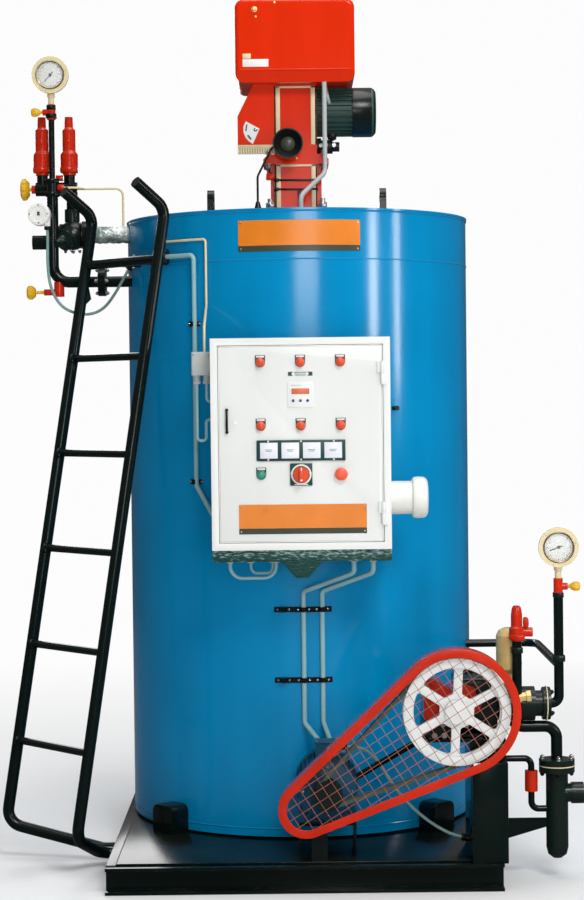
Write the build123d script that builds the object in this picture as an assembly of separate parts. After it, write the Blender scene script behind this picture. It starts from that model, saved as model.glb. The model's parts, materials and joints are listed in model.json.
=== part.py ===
"""Vertical coil steam boiler on a skid, with a burner, control panel, ladder and belt-driven feed pump.

Millimetres, +Z up. The origin is on the ground below the axis of the round shell.
The control panel faces -Y.
"""
from build123d import *
import math
import os

# Skid
SKID_MARGIN = 23.0
SKID_FRONT_REACH = 325.0
SKID_REAR_REACH = 35.0
RAIL_HEIGHT = 75.0
RAIL_FLANGE = 40.0
RAIL_WEB = 6.0
RAIL_LIP = 9.0
BEAM_WIDTH = 60.0
BEAM_SPACING = 300.0
ANCHOR_INSET = 98.0
ANCHOR_RADIUS = 9.0
ANCHOR_SETBACK = 17.0
DECK_THICKNESS = 6.0
DECK_SETBACK = 30.0

# Shell
SHELL_DIAMETER = 1050.0
SHELL_HEIGHT = 1810.0
SHELL_WALL = 4.0
BOTTOM_THICKNESS = 8.0
BOTTOM_INSET = 12.0
LID_THICKNESS = 6.0
LID_OVERHANG = 3.0
SEAT_GAP = 0.2

# Feet and lifting lugs
FOOT_WIDTH = 86.0
FOOT_HEIGHT = 84.0
FOOT_DEPTH = 62.0
FOOT_ANGLE = 45.0
LUG_RADIUS = 30.0
LUG_HEIGHT = 31.0
LUG_THICKNESS = 20.0
LUG_EYE_RADIUS = 14.0
LUG_INSET = 25.0
LUG_ANGLE = 30.0

# Flue outlet
FLUE_DROP = 339.0
FLUE_RADIUS = 110.0
FLUE_WALL = 4.0
FLUE_PROJECTION = 90.0
FLUE_INSERTION = 40.0
FLUE_FLANGE_RADIUS = 150.0
FLUE_FLANGE_THICKNESS = 10.0
FLUE_BOLT_CIRCLE = 265.0
FLUE_BOLT_RADIUS = 6.0
FLUE_BOLTS = 8

# Burner
BURNER_Y = -50.0
COLUMN_WIDTH = 130.0
COLUMN_DEPTH = 160.0
NECK_PLATE = 250.0
NECK_PLATE_THICKNESS = 14.0
NECK_HEIGHT = 168.0
NECK_WIDTH = 156.0
NECK_SETBACK = 20.0
NECK_FLANGE_WIDTH = 200.0
NECK_FLANGE_HEIGHT = 30.0
BODY_HEIGHT = 211.0
HOOD_WIDTH = 362.0
HOOD_DEPTH = 300.0
HOOD_HEIGHT = 250.0
HOOD_ROUNDING = 26.0
HOOD_FOLD_HEIGHT = 36.0
HOOD_FOLD_DEPTH = 14.0
AIR_BOX_REACH = 112.0
AIR_BOX_SLOPE = 48.0
AIR_BOX_HEIGHT = 182.0
AIR_BOX_SHOULDER = 95.0
AIR_BOX_DEPTH = 170.0
GRILLE_HEIGHT = 28.0
GRILLE_RIBS = 9
BLOWER_MOTOR_DROP = 76.0
BLOWER_MOTOR_RADIUS = 66.0
BLOWER_MOTOR_LENGTH = 110.0
BLOWER_COWL_RADIUS = 75.0
BLOWER_COWL_LENGTH = 72.0
FIN_HEIGHT = 8.0
FIN_THICKNESS = 3.0
FIN_COUNT = 28
FUEL_PUMP_RADIUS = 21.0
FUEL_PUMP_LENGTH = 70.0
FUEL_PUMP_DROP = 181.0
HORN_MOUTH = 46.0
HORN_THROAT = 15.0
HORN_LENGTH = 82.0
HORN_X = -24.0
HORN_RISE = 54.0
HORN_RIM = 4.0
HORN_LEAD_RADIUS = 3.5
HORN_LEAD_BEND = 24.0
HORN_LEAD_RUN = 93.0
HORN_LEAD_FORWARD = 60.0
HORN_LEAD_DROP = 97.0
LID_GLAND_RADIUS = 12.0
LID_GLAND_HEIGHT = 48.0

# Control panel
PANEL_X = 3.0
PANEL_WIDTH = 500.0
PANEL_HEIGHT = 590.0
PANEL_DEPTH = 200.0
PANEL_BASE = 935.0
PANEL_GAP = 15.0
PANEL_SHEET = 3.0
PANEL_FRAME = 20.0
DOOR_GAP = 5.0
DOOR_THICKNESS = 20.0
DOOR_SHEET = 3.0
REBATE_LIP = 12.0
HINGE_RADIUS = 5.5
HINGE_LENGTH = 32.0
HINGE_PIN = 2.5
HINGE_RUN = 0.3
HINGE_STANDOFF = 6.0
HINGE_LEAF = 14.0
HINGE_ROWS = (100.0, 490.0)
MOUNT_PLATE_MARGIN = 30.0
MOUNT_PLATE_THICKNESS = 3.0
MOUNT_PLATE_STANDOFF = 20.0
MOUNT_STUD_RADIUS = 6.0
SHELF_HEIGHT = 33.0
SHELF_SETBACK = 10.0
STRUT_WIDTH = 116.0
STRUT_TIP = 34.0
STRUT_HEIGHT = 46.0
LAMP_RADIUS = 13.0
LAMP_PROJECTION = 18.0
LAMP_PITCH = 111.0
LAMP_ROWS = (522.0, 346.0)
BUTTON_ROW = 210.0
STOP_RADIUS = 18.0
WINDOWS_WIDTH = 247.0
WINDOWS_HEIGHT = 58.0
WINDOWS_ROW = 277.0
WINDOWS_COUNT = 4
WINDOW_SHARE = 0.78
CONTROLLER_SIZE = 72.0
CONTROLLER_ROW = 432.0
SWITCH_PLATE = 62.0
SWITCH_RADIUS = 22.0
SWITCH_PROJECTION = 30.0
HANDLE_LENGTH = 72.0
HANDLE_WIDTH = 11.0
HANDLE_ROW = 360.0
HANDLE_INSET = 20.0
FACE_PLATE = 6.0
SOUNDER_RADIUS = 40.0
SOUNDER_BELL = 59.0
SOUNDER_LENGTH = 107.0
SOUNDER_BELL_LENGTH = 42.0
SOUNDER_ROW = 138.0
JUNCTION_WIDTH = 55.0
JUNCTION_HEIGHT = 66.0
JUNCTION_DEPTH = 62.0
JUNCTION_ROW = 489.0
GLAND_RADIUS = 9.0
GLAND_LENGTH = 24.0

# Ladder
STILE_RADIUS = 17.0
STILE_PITCH = 350.0
RUNG_RADIUS = 11.0
RUNG_SPACING = 283.0
TIE_DROP = 100.0
FIRST_RUNG = 352.0
LADDER_FOOT_OFFSET = 120.0
LADDER_FOOT_FORWARD = 506.0
LADDER_FOOT_HEIGHT = 112.0
LADDER_LEAN = (260.0, 220.0)
LADDER_RISE = 16.0
LADDER_TURN = 48.0
HANDLE_RISE = 72.0
HANDLE_REACH = 108.0
STILE_BEND = 50.0
LADDER_ANCHOR = 170.0
LADDER_ANCHOR_PITCH = 70.0
LADDER_KNEE = 80.0
TIE_RADIUS = 14.0
TIE_ARMS = (0.3, 0.65)

# Steam header, on the left of the shell
STEAM_Y = -134.0
HEADER_Y = -90.0
STANDPIPE_OFFSET = 220.0
PIPE_RADIUS = 17.0
TEE_RADIUS = 14.0
HEADER_RISE = 109.0
STANDPIPE_DROP = 288.0
STANDPIPE_RISE = 207.0
STANDPIPE_BEND = 50.0
GAUGE_PIPE_RADIUS = 9.0
HEADER_REACH_LEFT = 55.0
HEADER_REACH_RIGHT = 73.0
HEADER_RADIUS = 21.0
SAFETY_OFFSETS = (-35.0, 48.0)
SAFETY_RISE = 42.0
SAFETY_HEIGHT = 178.0
SAFETY_RADIUS = 27.0
STEAM_VALVE_OFFSET = 55.0
STEAM_VALVE_RADIUS = 46.0
STEAM_VALVE_NECK = 79.0
STEAM_VALVE_REACH = 54.0
STEAM_LINE_DROP = 142.0
STEAM_LINE_RADIUS = 26.0
LOWER_FLANGE_OFFSET = 71.0
LOWER_FLANGE_RADIUS = 44.0
LOWER_FLANGE_THICKNESS = 22.0
OUTLET_DROP = 166.0
OUTLET_LENGTH = 62.0
OUTLET_RADIUS = 22.0
OUTLET_BORE = 13.0
OUTLET_BORE_LENGTH = 40.0
GAUGE_FLANGE_RADIUS = 56.0
GAUGE_CASE_RADIUS = 44.0
GAUGE_DEPTH = 46.0
GAUGE_RIM = 6.0
GAUGE_RISE = 88.0
COCK_RADIUS = 13.0
COCK_HEIGHT = 46.0
COCK_BOSS = 26.0
STEM_RADIUS = 5.0
KNOB_LENGTH = 26.0
DRAIN_OFFSET = 17.0
DRAIN_DROP = 44.0
DRAIN_REACH = 46.0
STEM_GAP = 0.3
KNOB_RADIUS = 22.0
VENT_KNOB_RADIUS = 34.0
PRESSURE_SWITCH_RADIUS = 34.0
PRESSURE_SWITCH_DEPTH = 44.0
PRESSURE_SWITCH_OFFSET = 35.0
PRESSURE_SWITCH_DROP = 85.0
SWITCH_GLAND_OFFSET = 24.0
SWITCH_GLAND_LENGTH = 20.0

# Feed pump and its belt drive
WHEEL_INSET = 126.0
WHEEL_HEIGHT = 493.0
WHEEL_RADIUS = 148.0
WHEEL_WIDTH = 48.0
WHEEL_SETBACK = 28.0
WHEEL_RIM = 26.0
SPOKE_COUNT = 6
SPOKE_WIDTH = 24.0
SPOKE_THICKNESS = 16.0
SPOKE_TURN = 27.0
HUB_RADIUS = 34.0
SHAFT_RADIUS = 15.0
SHAFT_FIT = 0.4
SHAFT_SEAT = 34.0
PULLEY_OFFSET = 356.0
PULLEY_HEIGHT = 267.0
PULLEY_RADIUS = 41.0
BELT_WIDTH = 13.0
BELT_DEPTH = 10.0
BELT_PITCH = 20.0
BELT_CLEARANCE = 0.6
GUARD_PROUD = 12.0
GUARD_DEPTH = 72.0
GUARD_SHEET = 3.0
GUARD_LIP = 23.0
GUARD_BIG_RADIUS = 174.0
GUARD_SMALL_RADIUS = 77.0
GUARD_SMALL_OFFSET = 60.0
GUARD_SMALL_DROP = 37.0
MESH_PITCH = 36.0
MESH_WIRE = 3.0
MESH_LAP = 8.0
CRANKCASE_WIDTH = 176.0
CRANKCASE_HEIGHT = 168.0
CRANKCASE_DEPTH = 190.0
CRANKCASE_SETBACK = 74.0
BEARING_RADIUS = 42.0
BEARING_LENGTH = 14.0
NECK_RADIUS = 52.0
PUMP_HEAD_OFFSET = 123.0
PUMP_HEAD_LENGTH = 150.0
PUMP_HEAD_RADIUS = 37.0
MOTOR_SETBACK = 74.0
MOTOR_RADIUS = 80.0
MOTOR_LENGTH = 172.0
MOTOR_SHAFT_HEIGHT = 92.0
MOTOR_SHIELD = 48.0
STAND_SHEET = 8.0
PUMP_STAND_INSET = 86.0
PUMP_STAND_WIDTH = 98.0
PUMP_STAND_DEPTH = 252.0
PUMP_STAND_SETBACK = 8.0
PUMP_STAND_STEP_DROP = 58.0
GUSSET_TOP = 170.0
GUSSET_DROP = 60.0
GUARD_LEG_OFFSET = 36.0
GUARD_LEG_WIDTH = 44.0
PUMP_SETBACK = 160.0
BRACE_RADIUS = 9.0
TERMINAL_BOX = 64.0
TERMINAL_HEIGHT = 122.0
TERMINAL_SETBACK = 86.0

# Suction and discharge fittings, on the right of the pump
STRAINER_OFFSET = 152.0
STRAINER_DROP = 110.0
STRAINER_BASE = 58.0
STRAINER_RADIUS = 31.0
STRAINER_FLANGE_RADIUS = 50.0
STRAINER_FLANGE_THICKNESS = 18.0
INLET_DROP = 78.0
INLET_RADIUS = 30.0
INLET_BORE = 22.0
INLET_BORE_LENGTH = 34.0
INLET_REACH = 74.0
FEED_PIPE_RADIUS = 13.5
FEED_GAUGE_OFFSET = 25.0
FEED_COCK_RISE = 305.0
FEED_BRANCH_RISE = 107.0
FEED_BRANCH_RADIUS = 12.0
SUCTION_OFFSET = 41.0
SUCTION_DROP = 65.0
SUCTION_BEND = 34.0
SUCTION_RADIUS = 16.0
VESSEL_RADIUS = 36.0
VESSEL_HEIGHT = 130.0
VESSEL_RISE = 82.0
VESSEL_OFFSET = 37.0
VESSEL_SETBACK = 18.0
RELIEF_OFFSET = 53.0
RELIEF_FORWARD = 42.0
RELIEF_RADIUS = 21.0
RELIEF_RISE = 181.0
RELIEF_HEIGHT = 98.0
RELIEF_BRANCH = 44.0
FEED_INLET_Y = -140.0
DRAIN_VALVE_OFFSET = 80.0
DRAIN_VALVE_RISE = 6.0
DRAIN_VALVE_HEIGHT = 58.0
DRAIN_VALVE_RADIUS = 18.0
DRAIN_PIPE_RADIUS = 9.0
DRAIN_PIPE_DROP = 44.0
DRAIN_PIPE_RISE = 34.0
DRAIN_PIPE_BEND = 20.0

# Conduits, leads and tubes on the shell
CONDUIT_RADIUS = 7.0
CONDUIT_BEND = 30.0
SIDE_CONDUIT_X = -302.0
SIDE_CONDUIT_REACH = 82.0
SIDE_CONDUIT_DROP = 122.0
SIDE_CONDUIT_FALL = 80.0
SIDE_CONDUIT_LIFT = 170.0
SIDE_CONDUIT_ENTRY = 40.0
DROP_X = 150.0
DROP_PITCH = 54.0
DROP_SHIFT = 144.0
DROP_HANG = 40.0
DROP_TOP = 102.0
DROP_FOOT = 100.0
DROP_ENTRY_PITCH = 30.0
BURNER_CONDUIT_X = 88.0
BURNER_CONDUIT_INSET = 20.0
BURNER_CONDUIT_TURN = 33.0
BURNER_CONDUIT_END = (13.0, -300.0)
BURNER_CONDUIT_STAND = 55.0
PANEL_LOOPS = ((-200.0, 130.0, 52.0, 5.0), (-142.0, 62.0, 40.0, 4.0))
PANEL_LOOP_PITCH = 24.0
LEAD_RADIUS = 4.0
LEAD_BEND = 11.0
JUNCTION_LOOP_DROP = 160.0
JUNCTION_LOOP_WIDTH = 25.0
JUNCTION_LOOP_RISE = 60.0
JUNCTION_LEAD_DROP = 50.0
TUBE_RADIUS = 3.5
TUBE_BEND = 22.0
HEADER_TUBE_REACH = 8.0
SHELL_TUBE_LEFT = -389.0
SHELL_TUBE_RIGHT = -266.0
SHELL_TUBE_DROP = 77.0
SHELL_TUBE_STAND = 70.0

# Free cables, as steps from the gland they start at
CABLE_RADIUS = 4.5
CABLE_TANGENT = 0.45
CABLE_GLAND = 9.0
SHELL_GLAND_LENGTH = 46.0
STAND_GLAND_LENGTH = 18.0
MOTOR_GLAND_LENGTH = 24.0
SWITCH_CABLE = (
    (0.0, 0.0, 0.0),
    (0.0, 0.0, -40.0),
    (-1.0, -5.0, -108.0),
    (6.0, -2.0, -178.0),
    (34.0, 10.0, -233.0),
    (76.0, 27.0, -256.0),
    (126.0, 37.0, -260.0),
    (168.0, 34.0, -240.0),
    (200.0, 22.0, -198.0),
    (226.0, 10.0, -156.0),
    (245.0, 6.5, -123.0),
)
MOTOR_CABLE = (
    (0.0, 0.0, 0.0),
    (34.0, 0.0, 0.0),
    (70.0, -4.0, -18.0),
    (100.0, -10.0, -58.0),
    (132.0, -20.0, -110.0),
    (174.0, -33.0, -160.0),
    (223.0, -43.0, -202.0),
    (270.0, -49.0, -231.0),
    (298.0, -50.0, -243.0),
    (322.0, -50.0, -249.0),
)

# Worked-out levels and places
SHELL_RADIUS = SHELL_DIAMETER / 2
SKID_WIDTH = SHELL_DIAMETER + 2 * SKID_MARGIN
SKID_SIDE = SKID_WIDTH / 2
SKID_FRONT = SHELL_RADIUS + SKID_FRONT_REACH
SKID_REAR = SHELL_RADIUS + SKID_REAR_REACH
ANCHOR_SPACING = SKID_WIDTH - 2 * ANCHOR_INSET
DECK_TOP = RAIL_HEIGHT + DECK_THICKNESS
SHELL_BASE = DECK_TOP + BOTTOM_THICKNESS
SHELL_TOP = SHELL_BASE + SHELL_HEIGHT
LID_TOP = SHELL_TOP + LID_THICKNESS
LUG_CIRCLE = SHELL_RADIUS - LUG_INSET
FLUE_HEIGHT = SHELL_TOP - FLUE_DROP
LADDER_TOP = SHELL_TOP + LADDER_RISE
LADDER_FOOT = (-SHELL_RADIUS - LADDER_FOOT_OFFSET, STEAM_Y - LADDER_FOOT_FORWARD, LADDER_FOOT_HEIGHT)
RUNG_COUNT = int((SHELL_TOP - TIE_DROP - FIRST_RUNG) // RUNG_SPACING)
STANDPIPE_X = -SHELL_RADIUS - STANDPIPE_OFFSET
HEADER_HEIGHT = SHELL_TOP + HEADER_RISE
HEADER_LEFT = STANDPIPE_X - HEADER_REACH_LEFT
HEADER_RIGHT = STANDPIPE_X + HEADER_REACH_RIGHT
STANDPIPE_BASE = HEADER_HEIGHT - STANDPIPE_DROP
STANDPIPE_TOP = HEADER_HEIGHT + STANDPIPE_RISE
SAFETY_BASE = HEADER_HEIGHT + SAFETY_RISE
STEAM_VALVE_X = STANDPIPE_X + STEAM_VALVE_OFFSET
STEAM_LINE_HEIGHT = HEADER_HEIGHT - STEAM_LINE_DROP
STEAM_VALVE_TOP = STEAM_LINE_HEIGHT + STEAM_VALVE_NECK
LOWER_FLANGE_X = -SHELL_RADIUS - LOWER_FLANGE_OFFSET
OUTLET_HEIGHT = HEADER_HEIGHT - OUTLET_DROP
DRAIN_X = STANDPIPE_X + DRAIN_OFFSET
DRAIN_LEVEL = STANDPIPE_BASE - DRAIN_DROP / 2 - PIPE_RADIUS / 2
PRESSURE_SWITCH_X = STANDPIPE_X - PRESSURE_SWITCH_OFFSET
PRESSURE_SWITCH_HEIGHT = HEADER_HEIGHT - PRESSURE_SWITCH_DROP
PRESSURE_SWITCH_BACK = STEAM_Y - PIPE_RADIUS - GLAND_RADIUS
NECK_TOP = LID_TOP + NECK_HEIGHT
BODY_BASE = NECK_TOP + NECK_FLANGE_HEIGHT
BODY_TOP = BODY_BASE + BODY_HEIGHT
COLUMN_FRONT = BURNER_Y - COLUMN_DEPTH / 2
BLOWER_MOTOR_HEIGHT = BODY_TOP - BLOWER_MOTOR_DROP
PANEL_BACK = -(SHELL_RADIUS + PANEL_GAP)
PANEL_FRONT = PANEL_BACK - PANEL_DEPTH
DOOR_WIDTH = PANEL_WIDTH - 2 * (PANEL_FRAME + DOOR_GAP)
DOOR_HEIGHT = PANEL_HEIGHT - 2 * (PANEL_FRAME + DOOR_GAP)
PANEL_MIDDLE = PANEL_BASE + PANEL_HEIGHT / 2
HINGE_X = PANEL_X + DOOR_WIDTH / 2 + DOOR_GAP / 2
HINGE_Y = PANEL_FRONT - HINGE_STANDOFF
GUARD_Y = -SKID_FRONT - GUARD_PROUD
WHEEL_X = SKID_SIDE - WHEEL_INSET
WHEEL_Y = WHEEL_SETBACK - SKID_FRONT
PULLEY_X = WHEEL_X - PULLEY_OFFSET
GUARD_SMALL_X = PULLEY_X - GUARD_SMALL_OFFSET
GUARD_SMALL_HEIGHT = PULLEY_HEIGHT - GUARD_SMALL_DROP
GUARD_LEG_X = GUARD_SMALL_X + GUARD_LEG_OFFSET
CRANKCASE_FRONT = SKID_FRONT - CRANKCASE_SETBACK
MOTOR_FRONT = SKID_FRONT - MOTOR_SETBACK
PUMP_Y = PUMP_SETBACK - SKID_FRONT
PUMP_HEAD_START = WHEEL_X + PUMP_HEAD_OFFSET
PUMP_BASE = WHEEL_HEIGHT - CRANKCASE_HEIGHT / 2
PUMP_STAND_LEFT = SKID_SIDE - PUMP_STAND_INSET
PUMP_STAND_RIGHT = PUMP_STAND_LEFT + PUMP_STAND_WIDTH
PUMP_STAND_FRONT = SKID_FRONT - PUMP_STAND_SETBACK
PUMP_STAND_BACK = PUMP_STAND_FRONT - PUMP_STAND_DEPTH
PUMP_STAND_STEP = PUMP_BASE - PUMP_STAND_STEP_DROP
SUCTION_X = PUMP_HEAD_START + SUCTION_OFFSET
SUCTION_HEIGHT = WHEEL_HEIGHT - SUCTION_DROP
STRAINER_X = PUMP_STAND_RIGHT + STRAINER_OFFSET
STRAINER_TOP = SUCTION_HEIGHT - STRAINER_DROP
INLET_HEIGHT = STRAINER_TOP - INLET_DROP
DRAIN_VALVE_X = PUMP_STAND_RIGHT + DRAIN_VALVE_OFFSET
DRAIN_VALVE_BASE = INLET_HEIGHT + DRAIN_VALVE_RISE
DRAIN_PIPE_LEVEL = INLET_HEIGHT - DRAIN_PIPE_DROP
FEED_GAUGE_X = PUMP_HEAD_START + PUMP_HEAD_LENGTH + FEED_GAUGE_OFFSET
FEED_COCK_BASE = WHEEL_HEIGHT + FEED_COCK_RISE
FEED_BRANCH_HEIGHT = WHEEL_HEIGHT + FEED_BRANCH_RISE
VESSEL_X = PUMP_HEAD_START + VESSEL_OFFSET
VESSEL_Y = PUMP_Y + VESSEL_SETBACK
RELIEF_X = PUMP_HEAD_START + RELIEF_OFFSET
RELIEF_Y = PUMP_Y - RELIEF_FORWARD
RELIEF_BASE = WHEEL_HEIGHT + RELIEF_RISE
PUMP_TABLE_LEFT = WHEEL_X - CRANKCASE_WIDTH / 2
WHEEL_CENTRE = (WHEEL_X, WHEEL_HEIGHT)
PULLEY_CENTRE = (PULLEY_X, PULLEY_HEIGHT)
GUARD_SMALL_CENTRE = (GUARD_SMALL_X, GUARD_SMALL_HEIGHT)
TERMINAL_Y = TERMINAL_SETBACK + TERMINAL_BOX / 2 - MOTOR_FRONT
TERMINAL_LEVEL = PULLEY_HEIGHT + TERMINAL_HEIGHT - CABLE_GLAND * 2
SWITCH_CABLE_START = (
    PRESSURE_SWITCH_X + SWITCH_GLAND_OFFSET,
    PRESSURE_SWITCH_BACK - PRESSURE_SWITCH_DEPTH / 2,
    PRESSURE_SWITCH_HEIGHT - PRESSURE_SWITCH_RADIUS - SWITCH_GLAND_LENGTH / 2,
)
MOTOR_CABLE_START = (PULLEY_X + TERMINAL_BOX / 2 + MOTOR_GLAND_LENGTH, TERMINAL_Y, TERMINAL_LEVEL)


def at_front(y):
    """Vertical plane facing -Y at depth y, whose local axes are X and Z."""
    return Plane(origin=(0, y, 0), x_dir=(1, 0, 0), z_dir=(0, -1, 0))


def rod(start, end, radius):
    """Round bar from start to end."""
    run = Vector(*end) - Vector(*start)
    return extrude(Plane(origin=start, z_dir=run) * Circle(radius), run.length)


def pipe(points, bends, radius):
    """Round bar along straight runs with rounded corners."""
    path = FilletPolyline(*points, radius=bends)
    return sweep(Plane(origin=path @ 0, z_dir=path % 0) * Circle(radius), path=path)


def along(start, steps):
    """Points of a route given as steps from its start."""
    return [Vector(*start) + Vector(*step) for step in steps]


def cable(points, radius):
    """Round cord along straight runs joined by tangent arcs as wide as the shorter run allows."""
    edges = []
    arrived = points[0]
    for before, corner, after in zip(points, points[1:], points[2:]):
        incoming = corner - before
        outgoing = after - corner
        reach = CABLE_TANGENT * min(incoming.length, outgoing.length)
        turn = math.radians(incoming.get_angle(outgoing))
        bend = reach / math.tan(turn / 2)
        enter = corner - incoming.normalized() * reach
        leave = corner + outgoing.normalized() * reach
        inwards = (outgoing.normalized() - incoming.normalized()).normalized()
        crown = corner + inwards * (bend / math.cos(turn / 2) - bend)
        edges += [Line(arrived, enter), ThreePointArc(enter, crown, leave)]
        arrived = leave
        print(f"cable bend {bend:.0f} mm")
    edges.append(Line(arrived, points[-1]))
    path = Wire(edges)
    return sweep(Plane(origin=points[0], z_dir=points[1] - points[0]) * Circle(radius), path=path)


def end_gland(points, length):
    """Gland that takes the last run of a cable on into what it enters."""
    heading = (points[-1] - points[-2]).normalized()
    return rod(tuple(points[-1]), tuple(points[-1] + heading * length), CABLE_GLAND)


def turned(profile, origin, axis):
    """Solid of revolution from (distance along the axis, radius) pairs that start and end on the axis."""
    plane = Plane(origin=origin, x_dir=axis, z_dir=Vector(*axis).cross(Vector(0.36, 0.48, 0.8)))
    outline = make_face(Polyline(*profile, close=True))
    return revolve(plane * outline, axis=Axis(origin, axis))


def shell_cutter(height, base):
    """Cylinder the size of the shell's outside, for trimming what seats on it."""
    return Pos(0, 0, base) * extrude(Circle(SHELL_RADIUS + SEAT_GAP), height)


def teardrop(big, big_radius, small, small_radius):
    """Closed outline round two circles joined by their outer tangents, in X and Z."""
    run = Vector(*small) - Vector(*big)
    heading = math.atan2(run.Y, run.X)
    spread = math.acos((big_radius - small_radius) / run.length)

    def point(centre, radius, angle):
        return (centre[0] + radius * math.cos(angle), centre[1] + radius * math.sin(angle))

    first, second = heading + spread, heading - spread
    edges = [
        Line(point(big, big_radius, first), point(small, small_radius, first)),
        ThreePointArc(
            point(small, small_radius, first),
            point(small, small_radius, heading),
            point(small, small_radius, second),
        ),
        Line(point(small, small_radius, second), point(big, big_radius, second)),
        ThreePointArc(
            point(big, big_radius, second),
            point(big, big_radius, heading + math.pi),
            point(big, big_radius, first),
        ),
    ]
    return make_face(edges)


def channel(length):
    """Rolled channel along X, standing on z = 0 with its toes towards -Y and its back on y = 0."""
    block = Pos(-RAIL_FLANGE / 2, RAIL_HEIGHT / 2) * Rectangle(RAIL_FLANGE, RAIL_HEIGHT)
    hollow = Rectangle(RAIL_FLANGE, RAIL_HEIGHT - 2 * RAIL_LIP)
    recess = Pos(-RAIL_FLANGE / 2 - RAIL_WEB, RAIL_HEIGHT / 2) * hollow
    return extrude(Plane.YZ * (block - recess), length / 2, both=True)


def skid_end_rails():
    holes = [Pos(side * ANCHOR_SPACING / 2, -ANCHOR_SETBACK) * Circle(ANCHOR_RADIUS) for side in (-1, 1)]
    rail = channel(SKID_WIDTH)
    for hole in holes:
        rail -= extrude(hole, RAIL_LIP)
    front = Pos(0, -SKID_FRONT + RAIL_FLANGE, 0) * rail
    rear = Pos(0, SKID_REAR - RAIL_FLANGE, 0) * Rot(0, 0, 180) * rail
    return [front, rear]


def skid_side_rails():
    length = SKID_FRONT + SKID_REAR - 2 * RAIL_FLANGE
    middle = (SKID_REAR - SKID_FRONT) / 2
    rail = channel(length)
    back = SKID_WIDTH / 2 - RAIL_FLANGE
    return [
        Pos(-back, middle, 0) * Rot(0, 0, -90) * rail,
        Pos(back, middle, 0) * Rot(0, 0, 90) * rail,
    ]


def skid_cross_beams():
    length = SKID_FRONT + SKID_REAR - 2 * RAIL_FLANGE
    middle = (SKID_REAR - SKID_FRONT) / 2
    block = Pos(0, RAIL_HEIGHT / 2) * Rectangle(BEAM_WIDTH, RAIL_HEIGHT)
    hollow = Pos((BEAM_WIDTH + RAIL_WEB) / 4 + RAIL_WEB / 4, RAIL_HEIGHT / 2) * Rectangle(
        (BEAM_WIDTH - RAIL_WEB) / 2, RAIL_HEIGHT - 2 * RAIL_LIP
    )
    section = block - hollow - mirror(hollow, Plane.YZ)
    beam = extrude(Plane.XZ * section, length / 2, both=True)
    return [Pos(x, middle, 0) * beam for x in (-BEAM_SPACING, 0, BEAM_SPACING)]


def deck_plate():
    width = SKID_WIDTH - 2 * DECK_SETBACK
    length = SKID_FRONT + SKID_REAR - 2 * DECK_SETBACK
    middle = (SKID_REAR - SKID_FRONT) / 2
    return Pos(0, middle, RAIL_HEIGHT) * extrude(Rectangle(width, length), DECK_THICKNESS)


def shell_bottom_plate():
    return Pos(0, 0, DECK_TOP) * extrude(Circle(SHELL_RADIUS - BOTTOM_INSET), BOTTOM_THICKNESS)


def shell_casing():
    wall = extrude(Circle(SHELL_RADIUS) - Circle(SHELL_RADIUS - SHELL_WALL), SHELL_HEIGHT)
    opening = extrude(
        Plane(origin=(0, 0, FLUE_HEIGHT), x_dir=(1, 0, 0), z_dir=(0, 1, 0)) * Circle(FLUE_RADIUS + SEAT_GAP),
        SHELL_DIAMETER,
    )
    return Pos(0, 0, SHELL_BASE) * wall - opening


def shell_top_plate():
    return Pos(0, 0, SHELL_TOP) * extrude(Circle(SHELL_RADIUS + LID_OVERHANG), LID_THICKNESS)


def shell_feet():
    """Four rounded brackets that stand on the deck and hold the shell's foot."""
    outline = Pos(0, FOOT_HEIGHT / 2) * RectangleRounded(FOOT_WIDTH, FOOT_HEIGHT, FOOT_HEIGHT / 4)
    square = Pos(0, FOOT_HEIGHT / 4) * Rectangle(FOOT_WIDTH, FOOT_HEIGHT / 2)
    bracket = extrude(at_front(-SHELL_RADIUS + FOOT_DEPTH / 2) * (outline + square), FOOT_DEPTH * 3 / 2)
    bracket = Pos(0, 0, DECK_TOP) * bracket - shell_cutter(FOOT_HEIGHT, DECK_TOP)
    return [Rot(0, 0, FOOT_ANGLE + 90 * corner) * bracket for corner in range(4)]


def lifting_lugs():
    """Eye plates on the lid, one in each quarter."""
    outline = Pos(0, LUG_HEIGHT / 2) * Rectangle(2 * LUG_RADIUS, LUG_HEIGHT)
    outline += Pos(0, LUG_HEIGHT) * Circle(LUG_RADIUS)
    outline -= Pos(0, LUG_HEIGHT) * Circle(LUG_EYE_RADIUS)
    lug = extrude(Plane.YZ * outline, LUG_THICKNESS / 2, both=True)
    x = LUG_CIRCLE * math.sin(math.radians(LUG_ANGLE))
    y = LUG_CIRCLE * math.cos(math.radians(LUG_ANGLE))
    return [Pos(i * x, j * y, LID_TOP) * lug for i in (-1, 1) for j in (-1, 1)]


def flue_outlet():
    """Short flanged pipe set through the back of the shell."""
    start = SHELL_RADIUS - FLUE_INSERTION
    end = SHELL_RADIUS + FLUE_PROJECTION
    facing = Plane(origin=(0, start, FLUE_HEIGHT), x_dir=(1, 0, 0), z_dir=(0, 1, 0))
    tube = extrude(facing * (Circle(FLUE_RADIUS) - Circle(FLUE_RADIUS - FLUE_WALL)), end - start)
    ring = Circle(FLUE_FLANGE_RADIUS) - Circle(FLUE_RADIUS - FLUE_WALL)
    ring -= PolarLocations(FLUE_BOLT_CIRCLE / 2, FLUE_BOLTS) * Circle(FLUE_BOLT_RADIUS)
    flange = extrude(facing.offset(end - start - FLUE_FLANGE_THICKNESS) * ring, FLUE_FLANGE_THICKNESS)
    return tube + flange


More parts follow.
